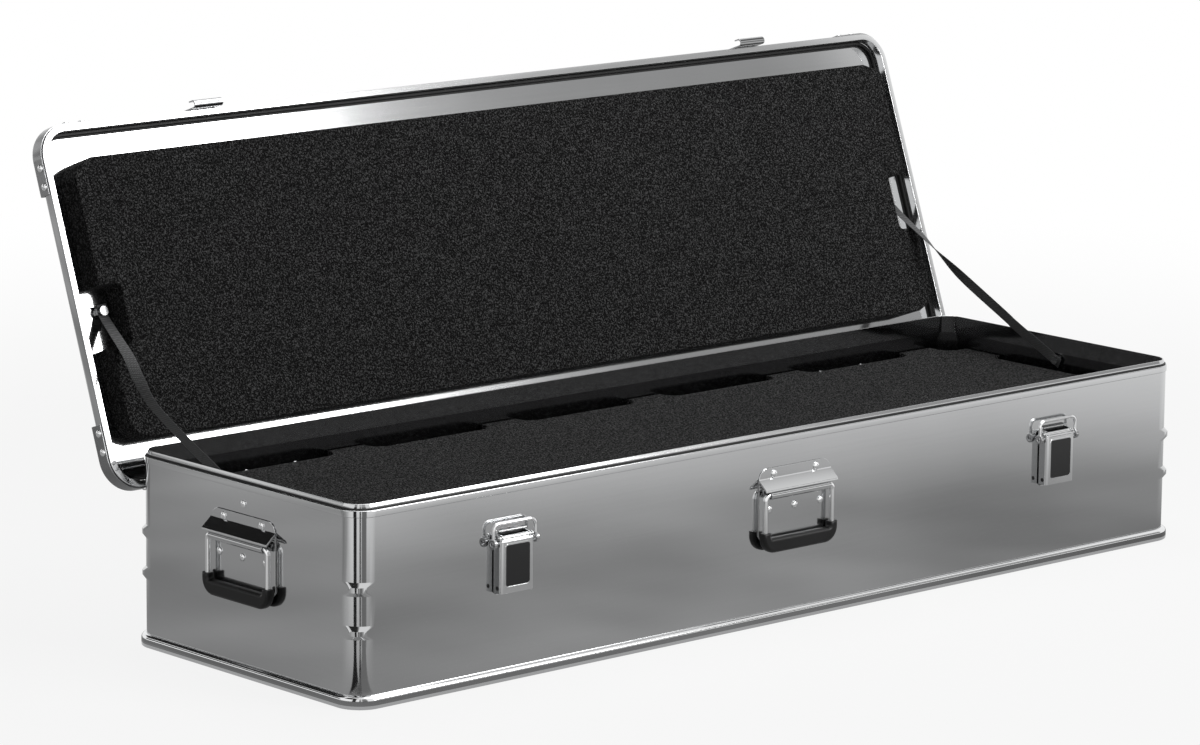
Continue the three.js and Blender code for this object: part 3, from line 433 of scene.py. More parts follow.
# Drop handles, one on the front and one on each end: a riveted backing plate with a folded rain
# roof and a rolled sleeve, a bent steel wire that swings in the sleeve, and a moulded grip.
plate_half = 52.5
plate_low, plate_high = 92, 169.5
plate_back, plate_face = 0.2, 1.3
sleeve_out, sleeve_up = 8, 142
sleeve_half = 43.5
wire = 3
leg = 49
grip_bar = 88.5
grip_foot, grip_rail, grip_top = 79.5, 95.8, 102
grip_half = 5.4
grip_ease = 3.8
grip_bend = 17
roof_half = 53
plate_rivets = ((-31, 163), (31, 163), (-37.7, 125), (0, 125), (37.7, 125))
wire_metal = metal("polished_wire", (0.88, 0.885, 0.89), 0.06, streak=(80, 80, 80), cloud=0.03)
grip_rubber = moulded("moulded_grip_rubber", (0.007, 0.007, 0.0073), 0.34, 1500, 0.00004,
                      gloss=0.32)


def on_front(x0):
    """Places (u, h, d) on the front wall: along it, up from the floor and out of the wall."""
    return lambda u, h, d: (x0 + u, -case_half_width - d, h)


def gather(*shapes):
    """Several shapes as one list of points and faces."""
    points, faces = [], []
    for more, skin in shapes:
        faces += [tuple(len(points) + i for i in face) for face in skin]
        points += list(more)
    return points, faces


def plank(outline, low, high):
    """A flat outline of (u, h) with thickness from low to high out of the wall."""
    return between_loops([[(u, h, low) for u, h in outline], [(u, h, high) for u, h in outline]])


def strip(section, start, end):
    """A section of (out, height) carried along the wall."""
    return between_loops([[(start, h, d) for d, h in section], [(end, h, d) for d, h in section]])


def box_outline(half, low, high, top=0, foot=None):
    foot = top if foot is None else foot
    return [(-half, low, foot), (half, low, foot), (half, high, top), (-half, high, top)]


def bar(radius, start, end, d, h, sides=28):
    """A round bar lying along the wall."""
    return strip([(d + x, h + y) for x, y in ring_of(radius, sides)], start, end)


def hollow_bar(radius, bore, start, end, d, h):
    """A rolled sleeve: a tube lying along the wall."""
    return between_loops([
        [(u, h + y, d + x) for x, y in ring_of(r, 28)]
        for r, u in ((radius, start), (radius, end), (bore, end), (bore, start))
    ], closed=True)


def along_path(path, section):
    """A section of (across, out) carried round a closed path of (u, h) in the wall's plane."""
    loops = []
    for i, (u, h) in enumerate(path):
        here = Vector((u, h))
        first = (here - Vector(path[i - 1])).normalized()
        second = (Vector(path[(i + 1) % len(path)]) - here).normalized()
        way = (first + second).normalized()
        across = Vector((way.y, -way.x)) / max(0.5, way.dot(first))
        loops.append([(u + across.x * a, h + across.y * a, d) for a, d in section])
    return between_loops(loops, closed=True)


def round_section(radius, d, sides=20):
    return [(x, d + y) for x, y in ring_of(radius, sides)]


def grip_outline(e):
    """The grip seen from the front, drawn in by e: a bar with an upright socket at each end."""
    wide, slim = leg + grip_half, leg - grip_half
    half = [(wide - e, grip_foot + e, grip_bend - e), (wide - e, grip_top - e * 0.5, 0),
            (slim + e, grip_top - e * 0.5, 0), (slim + e, grip_rail - e, 2 + e)]
    return rounded(half + [(-u, h, r) for u, h, r in reversed(half)], 8)


low_bend, high_bend = 9, 5.5
wire_path = rounded([
    (-leg, grip_bar, low_bend), (leg, grip_bar, low_bend),
    (leg, sleeve_up, high_bend), (-leg, sleeve_up, high_bend),
], 9)
grip_steps = []
for k in range(7):
    a = math.radians(90 * k / 6)
    grip_steps.append((grip_ease * (1 - math.sin(a)), -grip_half + grip_ease * (1 - math.cos(a))))
grip_steps += [(e, -d) for e, d in reversed(grip_steps)]
for side, put in (("front", on_front(0)), ("left", on_left), ("right", on_right)):
    backing = plank(rounded(box_outline(plate_half, plate_low, plate_high, 12, 8), 8),
                    plate_back, plate_face)
    make(f"handle_plate_{side}", *placed(backing, put), bright_sheet, "case",
         (f"handle_{side}_plate",), "sheet", edge=0.35)
    roof = strip([
        (1.2, 156.4), (11.2, 147.9), (11.8, 147.2), (11.8, 146.2), (13.2, 146.2), (13.2, 148.2),
        (12.9, 149), (2.3, 158), (1.7, 158.7), (1.3, 159.2), (0.9, 159.2), (0.9, 156.8),
    ], -roof_half, roof_half)
    make(f"rain_roof_{side}", *placed(roof, put), bright_sheet, "case", slot="sheet",
         edge=0.25, crease=40)
    sleeve = gather(
        hollow_bar(4.9, 3.5, -sleeve_half, sleeve_half, sleeve_out, sleeve_up),
        strip([(1, sleeve_up + 3.1), (1, sleeve_up + 4.6), (7, sleeve_up + 4.8),
               (7, sleeve_up + 3.4)], -sleeve_half, sleeve_half),
    )
    make(f"rolled_sleeve_{side}", *placed(sleeve, put), bright_sheet, "case", slot="sheet",
         edge=0.2)
    for i, (u, h) in enumerate(plate_rivets):
        make(f"handle_rivet_{side}_{i + 1}", *placed(rivet_at(u, h, 1.2), put), rivet_metal,
             "case", slot="sheet")
    body = f"handle_{side}"
    loop = along_path(wire_path, round_section(wire, sleeve_out))
    make(f"handle_wire_{side}", *placed(loop, put), wire_metal, body, (f"handle_{side}_bail",),
         "wire", crease=50)
    grip = between_loops([[(u, h, sleeve_out + d) for u, h in grip_outline(e)]
                          for e, d in grip_steps])
    make(f"handle_grip_{side}", *placed(grip, put), grip_rubber, body,
         (f"handle_{side}_grip",), "grip", crease=50)

# Toggle latches: a riveted base with two ears, a pivot pin, a folded lever cover with a bare
# label plate set in its face, and a bent wire loop that catches the lid's hook.
latch_places = (("left", -400), ("right", 400))
cover_half = 22.5
cover_low, cover_high = 94, 148
cover_out = 12.8
cover_sheet = 1.4
cover_gap = 1.3
pivot_out, pivot_up = 8.5, 151
loop_out, loop_up = 7.3, 146
loop_wire = 1.75
loop_half = 28.2
loop_top = 166
shade_sheet_half, shade_sheet_low, shade_sheet_high = 20.8, 92.5, 146
shade_sheet_back, shade_sheet_face = 0.25, 1.85
side_hole, side_hole_out, side_hole_up = 2.3, 7, 99.5
plate_face_low, plate_face_high = 101, 144.2
plate_face_middle = (plate_face_low + plate_face_high) / 2
label_half, opening_half, label_frame_half = 15.7, 15.9, 17.2
eye_radius, eye_bore, eye_half = 5.2, 2.3, 1.9
base_outline = box_outline(20, 91, 158, 1.5, 3)
latch_metal = metal("bright_plated_steel", (0.78, 0.785, 0.79), 0.12, streak=(500, 4, 4),
                    cloud=0.04, grain=0.0000006)
cheek_metal = metal("shaded_plated_cheek", (0.64, 0.645, 0.65), 0.12, streak=(4, 4, 400),
                    cloud=0.05, grain=0.0000006)
eye_metal = metal("rolled_eye_steel", (0.5, 0.503, 0.507), 0.12, streak=(80, 80, 80), cloud=0.2)
# Painted shade: the colour of the dark sheet under the lever cover.
shade_sheet_metal = metal("painted_shade_sheet_steel", (0.05, 0.051, 0.052), 0.30, streak=(400, 4, 4),
                      cloud=0.2)
label_plate = moulded("blank_label_plate", (0.010, 0.010, 0.0105), 0.22, 900, 0.00001)


def stretched(outline, wide, high):
    """An outline drawn wider and higher about the middle of the label plate."""
    return [(u * wide, plate_face_middle + (h - plate_face_middle) * high) for u, h in outline]


for side, x in latch_places:
    put = on_front(x)
    base = gather(
        plank(rounded(base_outline, 4), 0.2, 1.6),
        strip([(0.6, 156.6), (5.0, 156.6), (5.2, 157.0), (5.2, 157.8), (5.0, 158), (0.6, 158)],
              -18.5, 18.5),
    )
    for ear in (-18.9, 17.4):
        base = gather(base, strip(rounded([
            (0.6, pivot_up - 3.4, 0), (pivot_out, pivot_up - 2.8, 2.6),
            (pivot_out + 2.6, pivot_up - 2.6, 2.4), (pivot_out + 2.6, pivot_up + 2.6, 2.4),
            (pivot_out, pivot_up + 2.8, 2.6), (0.6, pivot_up + 5, 0),
        ], 4), ear, ear + 1.5))
    make(f"latch_base_{side}", *placed(base, put), latch_metal, "case",
         (f"latch_{side}_base",), "steel", edge=0.2)
    # Painted shade: this dark sheet under the lever cover, with a strip above it, stands for the
    # shadow in the gap between the cover and the wall.
    pad = gather(plank(rounded(box_outline(shade_sheet_half, shade_sheet_low, shade_sheet_high, 2), 4),
                       shade_sheet_back, shade_sheet_face),
                 plank([(u, h) for u, h, r in box_outline(17, 147.2, 156.4)], 1.65, shade_sheet_face))
    make(f"latch_shade_sheet_{side}", *placed(pad, put), shade_sheet_metal, "case", slot="steel")
    pin = gather(
        bar(1.5, -23.2, 23.2, pivot_out, pivot_up),
        bar(2.4, -16.9, 16.9, pivot_out, pivot_up),
    )
    make(f"latch_pin_{side}", *placed(pin, put), wire_metal, "case", (f"latch_{side}_pin",),
         "steel", edge=0.3)
    inside = cover_half - cover_sheet
    channel = rounded([
        (-cover_half, cover_gap, 0.3), (-inside, cover_gap, 0.3),
        (-inside, cover_out - cover_sheet, 2.4), (inside, cover_out - cover_sheet, 2.4),
        (inside, cover_gap, 0.3), (cover_half, cover_gap, 0.3),
        (cover_half, cover_out, 3.8), (-cover_half, cover_out, 3.8),
    ], 6)
    cover = between_loops([[(u, h, d) for u, d in channel] for h in (cover_low, cover_high)])
    ear_section = rounded([
        (4.4, cover_high - 5, 1), (11.2, cover_high - 5, 1), (11.2, pivot_up + 2.7, 2.6),
        (5.4, pivot_up + 2.7, 2.6),
    ], 5)
    cover = gather(cover, strip(ear_section, -cover_half + 0.05, -inside),
                   strip(ear_section, inside, cover_half - 0.05))
    lever = make(f"latch_cover_{side}", *placed(cover, put), latch_metal, f"latch_{side}",
                 (f"latch_{side}_lever",), "steel", edge=0.25)
    second_finish(lever, cheek_metal, lambda face: abs(face.normal.x) > 0.97)
    # Painted shade: a thin black disc on each cheek stands for the dark inside of the side hole.
    for u in (-cover_half - 0.02, cover_half - 0.13):
        hole = bar(side_hole, u, u + 0.15, side_hole_out, side_hole_up)
        make(f"latch_side_hole_{side}_{'a' if u < 0 else 'b'}", *placed(hole, put), label_plate,
             f"latch_{side}", slot="inlay")
    roll = bar(2.5, -inside + 0.4, inside - 0.4, pivot_out + 1.4, cover_high - 0.6)
    make(f"latch_roll_{side}", *placed(roll, put), latch_metal, f"latch_{side}", slot="steel",
         edge=0.3)
    frame_outline = rounded(box_outline(label_frame_half, plate_face_low - 1.3,
                                        plate_face_high + 1.3, 4), 6)
    opening = rounded(box_outline(opening_half, plate_face_low, plate_face_high, 3), 6)
    ring = between_loops([[(u, h, cover_out + d) for u, h in outline] for outline, d in (
        (frame_outline, -0.05), (stretched(frame_outline, 0.985, 0.992), 0.42),
        (stretched(opening, 1.01, 1.004), 0.42), (opening, -0.05),
    )], capped=False)
    make(f"latch_label_frame_{side}", *placed(ring, put), latch_metal, f"latch_{side}",
         slot="steel")
    blank = plank(rounded(box_outline(label_half, plate_face_low + 0.3,
                                      plate_face_high - 0.3, 2.8), 6),
                  cover_out + 0.02, cover_out + 0.22)
    make(f"latch_label_{side}", *placed(blank, put), label_plate, f"latch_{side}",
         (f"latch_{side}_inlay",), "inlay", edge=0.08)
    loop_path = rounded([
        (-loop_half, loop_up, 2.5), (loop_half, loop_up, 2.5),
        (loop_half, loop_top, 7), (-loop_half, loop_top, 7),
    ], 8)
    hook_loop = along_path(loop_path, round_section(loop_wire, loop_out, 16))
    for u in (-loop_half, loop_half):
        eye = gather(hollow_bar(eye_radius, eye_bore, u - eye_half, u + eye_half, loop_out,
                                loop_up),
                     bar(1.6, u - 1.4, u + 1.4, loop_out, loop_up, 20))
        make(f"latch_eye_{side}_{'a' if u < 0 else 'b'}", *placed(eye, put), eye_metal,
             f"latch_{side}_loop", slot="wire", edge=0.7, crease=50)
    make(f"latch_loop_{side}", *placed(hook_loop, put), wire_metal, f"latch_{side}_loop",
         (f"latch_{side}_bail",), "wire", crease=50)

# Hinges: two pressed steel leaves with rolled knuckles on a plain pin. The lower leaf is riveted
# to the rear wall and the upper one lies inside the lid's frame.
hinge_metal = metal("plated_hinge_steel", (0.62, 0.625, 0.63), 0.2, streak=(200, 20, 20),
                    cloud=0.06, grain=0.000001)


def refinish(node_name, finish, width, segments=2):
    """Leaves a solid of the frame as it is, in a new finish and with eased edges."""
    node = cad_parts[node_name]
    node.data.materials.clear()
    node.data.materials.append(finish)
    ease_edges(node, width, 40, segments)


for side in ("left", "right"):
    for leaf in ("body_leaf", "pin", "lid_leaf"):
        refinish(f"hinge_{side}_{leaf}", hinge_metal, 0.2)
hinge_rivets, hinge_rivet_up = (-456, -390, 390, 456), 161.5
for i, x in enumerate(hinge_rivets):
    head, skin_faces = rivet_at(x, hinge_rivet_up, 0)
    head = [(u, case_half_width - sheet - d, h) for u, h, d in head]
    make(f"hinge_rivet_inside_{i + 1}", head, skin_faces, rivet_metal, "case", slot="sheet")

# Lid: a shallow pressed tray of the same sheet, wider than the case all round, stiffened by an
# extruded frame inside its lower edge. It is drawn closed and stands open on its hinge line.
hinge_y, hinge_z = 183.6, 181.7
open_turn = math.radians(110.1)
lid_half_length, lid_half_width, lid_middle = 618.9, 193.8, 4.8
lid_corner = 33.6
lid_low, lid_top = 192, 210.3
lid_edge = 9
frame_wide, frame_sheet, frame_high = 6.8, 1.5, 12


def opened(p):
    """A point of the closed lid carried to where the open lid holds it."""
    dy, dz = p[1] - hinge_y, p[2] - hinge_z
    c, s = math.cos(open_turn), math.sin(open_turn)
    return (p[0], hinge_y + dy * c + dz * s, hinge_z - dy * s + dz * c)


def on_lid(shape):
    points, faces = shape
    return [opened(p) for p in points], faces


def lid_ring(out, z):
    return corner_ring(lid_half_length + out, lid_half_width + out, lid_corner + out, z, lid_middle)


def edge_turn(r, z, steps=7):
    return [(r * math.cos(math.pi / 2 * k / steps) - r, z + r * math.sin(math.pi / 2 * k / steps))
            for k in range(steps + 1)]


skirt_low = lid_low + frame_sheet + 0.3
skin = edge_turn(lid_edge, lid_top - lid_edge)
lining = [(o - sheet, z) for o, z in edge_turn(lid_edge - sheet, lid_top - lid_edge)]
lid_profile = list(reversed(lining)) + [(-sheet, skirt_low), (0, skirt_low)] + skin
lid_skin = between_loops([lid_ring(o, z) for o, z in lid_profile])
make("lid_pressing", *on_lid(lid_skin), bright_sheet, "lid", ("lid_shell",), "sheet", crease=40)

frame_profile = rounded([
    (-frame_wide, lid_low, 0.4), (0, lid_low, 0.7), (0, lid_low + frame_sheet, 0.3),
    (frame_sheet - frame_wide, lid_low + frame_sheet, 0.6),
    (frame_sheet - frame_wide, lid_low + frame_high, 0.4), (-frame_wide, lid_low + frame_high, 0.4),
], 3)
band_round("lid_frame_extrusion", frame_profile, lid_half_length, lid_half_width, lid_corner,
           lid_middle, extrusion, "lid", ("lid_frame",), "extrusion", turn=opened)

# Lid seal: a strip of black rubber glued into the corner between the lid's frame and its panel,
# with a thin flange that lies flat on the panel.
seal_flange, seal_wide = -12.4, -10.4
seal_foot, seal_top = lid_low + frame_high + 0.2, lid_top - sheet - 0.1
lid_seal = rounded([
    (seal_flange, seal_top - 0.4, 0.1), (seal_wide, seal_top - 0.4, 0.1),
    (seal_wide, seal_foot, 0.8), (-frame_wide, seal_foot, 0.8),
    (-frame_wide, seal_top, 0.1), (seal_flange, seal_top, 0.1),
], 3)
band_round("lid_seal_strip", lid_seal, lid_half_length, lid_half_width, lid_corner, lid_middle,
           seal_rubber, "lid", (), "grip", turn=opened)

# Lid corner brackets: bent, stamped corner straps of darker anodised sheet that wrap the lid's
# skirt and lap over its top, each held by four rivets.
bracket_gap, bracket_sheet = 0.3, 1.3
bracket_out = bracket_gap + bracket_sheet
bracket_leg = 71
bracket_low = 194.2
bracket_lap = 16
bracket_rivets, bracket_rivet_up = (42, 62), 199.3
bracket_metal = metal("grey_anodised_sheet", (0.30, 0.303, 0.306), 0.24, streak=(30, 30, 400),
                      cloud=0.08, grain=0.000002)
bracket_section = rounded([
    (bracket_gap, bracket_low, 0.2), (bracket_out, bracket_low, 0.3),
    (bracket_out, lid_top + bracket_out, 3.2), (-bracket_lap, lid_top + bracket_out, 0.3),
    (-bracket_lap, lid_top + bracket_gap, 0.2), (bracket_gap, lid_top + bracket_gap, 0.4),
], 4)
bracket_run = [(lid_half_length, lid_half_width - bracket_leg, 0, 0)]
for k in range(15):
    bracket_run.append((lid_half_length - lid_corner, lid_half_width - lid_corner, 90 * k / 14,
                        lid_corner))
bracket_run.append((lid_half_length - bracket_leg, lid_half_width, 90, 0))
for name, sx, sy in (("front_left", -1, -1), ("front_right", 1, -1), ("rear_right", 1, 1),
                     ("rear_left", -1, 1)):
    loops = []
    for x, y, turn, reach in bracket_run:
        a = math.radians(turn)
        loops.append([(sx * (x + (reach + o) * math.cos(a)),
                       lid_middle + sy * (y + (reach + o) * math.sin(a)), z)
                      for o, z in bracket_section])
    make(f"lid_corner_{name}", *on_lid(between_loops(loops)), bracket_metal, "lid",
         (f"lid_bracket_{name}",), "bracket", edge=0.2)
    for i, at in enumerate(bracket_rivets):
        head, skin_faces = dome(rivet_radius, 2.2)
        rivet_x = sx * (lid_half_length - at)
        rivet_y = lid_middle + sy * (lid_half_width - at)
        long_side = [(rivet_x + a, lid_middle + sy * (lid_half_width + bracket_out + c),
                      bracket_rivet_up + b) for a, b, c in head]
        end_side = [(sx * (lid_half_length + bracket_out + c), rivet_y + a,
                     bracket_rivet_up + b) for a, b, c in head]
        both_heads = gather((long_side, skin_faces), (end_side, skin_faces))
        make(f"lid_corner_rivets_{name}_{i + 1}", *on_lid(both_heads), rivet_metal, "lid",
             slot="bracket")

# Lid catches: a plated plate riveted to the front skirt and turned up into a hook, which the
# latch loop pulls down on.
catch_half, catch_face = 19, 1.8
catch_rivets, catch_rivet_up = (-11, 11), 198.6
catch_section = [
    (0.3, 184.6), (0.9, 182.9), (2.2, 181.4), (3.4, 180.9), (4.6, 180.8), (6.1, 181.1),
    (7.4, 181.8), (8.6, 183), (9.2, 184.4), (9.2, 191), (7.8, 191), (7.8, 185), (7.3, 183.9),
    (6.6, 183.2), (5.6, 182.5), (4.6, 182.3), (3.7, 182.4), (3, 182.7), (2.2, 183.7), (1.8, 185.1),
    (1.8, 205), (0.3, 205),
]
catch_metal = metal("plated_catch_steel", (0.40, 0.403, 0.407), 0.10, streak=(300, 4, 4),
                    cloud=0.12)
for side, x in latch_places:
    hook = strip(catch_section, -catch_half, catch_half)
    hook = ([(x + u, lid_middle - lid_half_width - d, h) for u, h, d in hook[0]], hook[1])
    make(f"catch_hook_{side}", *on_lid(hook), catch_metal, "lid", (f"lid_catch_{side}",),
         "steel", edge=0.25, crease=40)
    for u in catch_rivets:
        head, skin_faces = dome(3.2, 1.6)
        head = [(x + u + a, lid_middle - lid_half_width - catch_face - c, catch_rivet_up + b)
                for a, b, c in head]
        make(f"catch_rivet_{side}_{'b' if u > 0 else 'a'}", *on_lid((head, skin_faces)),
             rivet_metal, "lid", slot="steel")

# Lid liner: a thick pad of black closed-cell foam glued to the inside of the lid, knife-cut with
# bevelled corners and a recess round each strap anchor.
liner_half_length, liner_half_width, liner_thick = 593, 150, 28.2
notch_deep = 27
notch = (-14.7, 51)
liner_bevel = ((25, 0, 4), (8, 7, 6), (0, 19, 4))


def cellular(name, low, high):
    """Black closed-cell foam: open grains of light and dark over a pitted, dry surface."""
    finish, tree, skin, place = new_finish(name)
    grains = shade(tree, "ShaderNodeTexNoise",
                   {"Scale": 520, "Detail": 4, "Roughness": 0.75, "Vector": place})
    cells = shade(tree, "ShaderNodeTexVoronoi", {"Scale": 620, "Vector": place})
    spread = shade(tree, "ShaderNodeMapRange",
                   {"Value": grains.outputs["Fac"], "From Min": 0.50, "From Max": 0.62})
    depth = shade(tree, "ShaderNodeMath",
                  {0: grains.outputs["Fac"], 1: cells.outputs["Distance"]}, operation="ADD")
    pits = shade(tree, "ShaderNodeBump",
                 {"Strength": 0.9, "Distance": 0.0012, "Height": depth.outputs[0]})
    feed(tree, skin, {
        "Roughness": 1,
        "Specular IOR Level": 0.12,
        "Base Color": two_tones(tree, (low, low, low * 1.02), (high, high, high * 1.01),
                                spread.outputs["Result"]),
        "Normal": pits.outputs["Normal"],
    })
    return finish


black_foam = cellular("black_cellular_foam", 0.002, 0.10)
liner_outline = []
for sx, sy in ((1, -1), (1, 1), (-1, 1), (-1, -1)):
    corner = [(sx * (liner_half_length - x), sy * (liner_half_width - y), r)
              for x, y, r in liner_bevel]
    recess = [(sx * (liner_half_length - x), y, r) for x, y, r in (
        (0, notch[0], 0), (notch_deep, notch[0], 6), (notch_deep, notch[1], 6), (0, notch[1], 0))]
    if (sx, sy) in ((1, 1), (-1, -1)):
        corner.reverse()
    liner_outline += corner
    if (sx, sy) == (1, -1):
        liner_outline += recess
    if (sx, sy) == (-1, 1):
        liner_outline += list(reversed(recess))
liner_seat = lid_top - sheet - 0.3
flat_outline = rounded(liner_outline, 5)
pad = between_loops([[(x, y, z) for x, y in flat_outline]
                     for z in (liner_seat - liner_thick, liner_seat)])
liner = make("lid_foam_pad", *on_lid(pad), black_foam, "lid", ("lid_liner",), "foam", edge=0.9,
             crease=40)

# Lid straps: flat woven webbing from a stud on each end wall to a stud in the lid, turned a
# quarter on its way, that stops the lid as it opens.
strap_wide, strap_thick = 12, 0.6


def woven(name, colour):
    """Narrow webbing: crossed warp and weft ribs, darker in the gaps between them."""
    finish, tree, skin, place = new_finish(name)
    warp, weft = (shade(tree, "ShaderNodeTexWave",
                        {"Scale": 160, "Distortion": 0.6, "Vector": place},
                        bands_direction=direction).outputs["Fac"] for direction in ("Y", "Z"))
    weave = shade(tree, "ShaderNodeMath", {0: warp, 1: weft}, operation="MULTIPLY").outputs[0]
    raised = shade(tree, "ShaderNodeBump", {"Distance": 0.0003, "Height": weave})
    feed(tree, skin, {
        "Roughness": 0.75,
        "Sheen Weight": 0.2,
        "Base Color": two_tones(tree, [c * 0.55 for c in colour], [c * 1.4 for c in colour],
                                weave),
        "Normal": raised.outputs["Normal"],
    })
    return finish


webbing = woven("grey_woven_webbing", (0.075, 0.076, 0.078))
strap_stations = [
    (595.1, -7, 176.6, 0), (595.1, 7, 183.4, 0), (595.1, 66, 211.6, 0), (596.1, 81, 219, 0),
    (596.5, 150, 254, 0), (591.5, 185, 278, 40), (586, 211, 299, 75),
]
lid_stud_x, lid_stud_y, lid_stud_up = 580, 9.8, 201.6
strap_end = 7
for near in (lid_stud_y + strap_end, lid_stud_y - strap_end):
    x, y, z = opened((lid_stud_x, near, lid_stud_up))
    strap_stations.append((x, y, z, 90))


def smooth_between(stations, steps=6):
    """More stations on a smooth curve through the given ones."""
    fine = []
    last = len(stations) - 1
    for i in range(last):
        a, b, c, d = (stations[max(i - 1, 0)], stations[i], stations[i + 1],
                      stations[min(i + 2, last)])
        for k in range(steps):
            t = k / steps
            fine.append(tuple(
                0.5 * (2 * q + (r - p) * t + (2 * p - 5 * q + 4 * r - s) * t * t
                       + (3 * q - p - 3 * r + s) * t ** 3) for p, q, r, s in zip(a, b, c, d)))
    fine.append(stations[last])
    return fine


spine = smooth_between(strap_stations)
strap_section = ((-1, -0.6), (-0.92, -1), (0.92, -1), (1, -0.6), (1, 0.6), (0.92, 1), (-0.92, 1),
                 (-1, 0.6))
for side, sx in (("left", -1), ("right", 1)):
    loops = []
    for i, (x, y, z, turn) in enumerate(spine):
        before = Vector(spine[max(i - 1, 0)][:3])
        after = Vector(spine[min(i + 1, len(spine) - 1)][:3])
        way = (after - before).normalized()
        flat_way = Vector((0, way.z, -way.y)).normalized()
        a = math.radians(turn)
        wide = flat_way * math.cos(a) + Vector((math.sin(a), 0, 0))
        wide = (wide - way * wide.dot(way)).normalized()
        thick = way.cross(wide).normalized()
        here = Vector((x, y, z))
        loop = []
        for w, t in strap_section:
            p = here + wide * (w * strap_wide / 2) + thick * (t * strap_thick / 2)
            loop.append((sx * p.x, p.y, p.z))
        loops.append(loop)
    strap = set_out(f"lid_strap_{side}",
                    welded_mesh(f"lid_strap_{side}", *between_loops(loops), webbing))
    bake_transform(strap)
    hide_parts(f"strap_{side}")
    refinish(f"strap_wall_anchor_{side}", rivet_metal, 0.5, 3)
    refinish(f"strap_lid_anchor_{side}", bracket_metal, 0.5, 3)

# Foam layers: five sheets of the same black foam, water-cut to one outline with blocks that
# reach the walls and recesses between them, stacked loose on the floor of the tray.
foam_layers = (68.4, 45.4, 22.7, 22.2, 10.5)
foam_half_length, foam_half_width = 595.5, 175.5
block, pitch = 50, 216
recess_y, recess_x = 154.5, 579.5
end_block = (89, 144.4)
inner_fillet = 17
cut_edge = 0.8
layer_gap = 0.2
quarter = [
    (recess_x, end_block[0], inner_fillet - 5), (foam_half_length, end_block[0], cut_edge),
    (foam_half_length, end_block[1], cut_edge),
    (2.5 * pitch + block / 2, end_block[1], inner_fillet),
]
for turn_at in (2.5 * pitch, 1.5 * pitch, 0.5 * pitch):
    if turn_at < 2 * pitch:
        quarter.append((turn_at + block / 2, recess_y, inner_fillet))
    quarter += [
        (turn_at + block / 2, foam_half_width, cut_edge),
        (turn_at - block / 2, foam_half_width, cut_edge),
        (turn_at - block / 2, recess_y, inner_fillet),
    ]
foam_outline = []
for sx, sy in ((1, 1), (-1, 1), (-1, -1), (1, -1)):
    turned = [(sx * x, sy * y, r) for x, y, r in quarter]
    foam_outline += turned if sx * sy > 0 else turned[::-1]
foam_edge = rounded(foam_outline, 7)
bottom = sheet + layer_gap
for i, thick in enumerate(foam_layers):
    layer = between_loops([[(x, y, z) for x, y in foam_edge] for z in (bottom, bottom + thick)])
    foam = make(f"foam_sheet_{i + 1}", *layer, black_foam, f"foam_{i + 1}",
                (f"foam_layer_{i + 1}",), "foam", edge=0.5, crease=40)
    bottom += thick + layer_gap

# Studio: a white seamless floor and backdrop, an overhead softbox and a key lamp from the front
# right. Soft grey cards, which only the bright metal mirrors, lie and stand round the case.
floor_half = 20
air_light = 0.14


def studio_sheet(name, half_wide, half_high, shader):
    """A flat piece of the studio with a material of its own."""
    mesh = bpy.data.meshes.new(name)
    mesh.from_pydata([(-half_wide, -half_high, 0), (half_wide, -half_high, 0),
                      (half_wide, half_high, 0), (-half_wide, half_high, 0)], [], [(0, 1, 2, 3)])
    mesh.materials.append(shader)
    piece = set_out(name, mesh)
    return piece


def bare_tree(block):
    """The emptied node tree of a material or of the world."""
    block.use_nodes = True
    block.node_tree.nodes.clear()
    return block.node_tree


def mixed(tree, share, first, second, output="ShaderNodeOutputMaterial"):
    """Ends a node tree with a mix of two shaders."""
    mix = shade(tree, "ShaderNodeMixShader", {0: share, 1: first.outputs[0], 2: second.outputs[0]})
    shade(tree, output, {"Surface": mix.outputs[0]})


def seen_not_lit(tree):
    """1 where the camera, a mirror or glass looks, and 0 for the light that falls on things."""
    ray = tree.nodes.new("ShaderNodeLightPath").outputs
    seen = ray["Is Camera Ray"]
    for also in ("Is Glossy Ray", "Is Transmission Ray"):
        seen = shade(tree, "ShaderNodeMath", {0: seen, 1: ray[also]},
                     operation="MAXIMUM").outputs[0]
    return seen


paper = bpy.data.materials.new("white_studio_paper")
tree = bare_tree(paper)
place = tree.nodes.new("ShaderNodeTexCoord").outputs["Object"]
reach = shade(tree, "ShaderNodeVectorMath", {0: place}, operation="LENGTH")
far = shade(tree, "ShaderNodeMapRange", {
    "Value": reach.outputs["Value"], "From Min": 1.0, "From Max": 2.6, "To Min": 0.88,
}, interpolation_type="SMOOTHSTEP")
share = shade(tree, "ShaderNodeMath", {0: seen_not_lit(tree), 1: far.outputs["Result"]},
              operation="MULTIPLY")
mixed(tree, share.outputs[0],
      shade(tree, "ShaderNodeBsdfDiffuse", {"Color": (0.50, 0.50, 0.50, 1)}),
      tree.nodes.new("ShaderNodeEmission"))
studio_sheet("studio_floor", floor_half, floor_half, paper)

world = bpy.data.worlds.new("studio_air")
bpy.context.scene.world = world
tree = bare_tree(world)
mixed(tree, seen_not_lit(tree),
      shade(tree, "ShaderNodeBackground", {"Color": (1, 1, 1, 1), "Strength": air_light}),
      shade(tree, "ShaderNodeBackground", {"Color": (1, 1, 1, 1), "Strength": 1}),
      "ShaderNodeOutputWorld")


def aimed(thing, place, aim, face):
    """Puts a lamp or card at a place, with its face towards a point."""
    thing.location = place
    thing.rotation_euler = (Vector(aim) - Vector(place)).to_track_quat(face, "Y").to_euler()


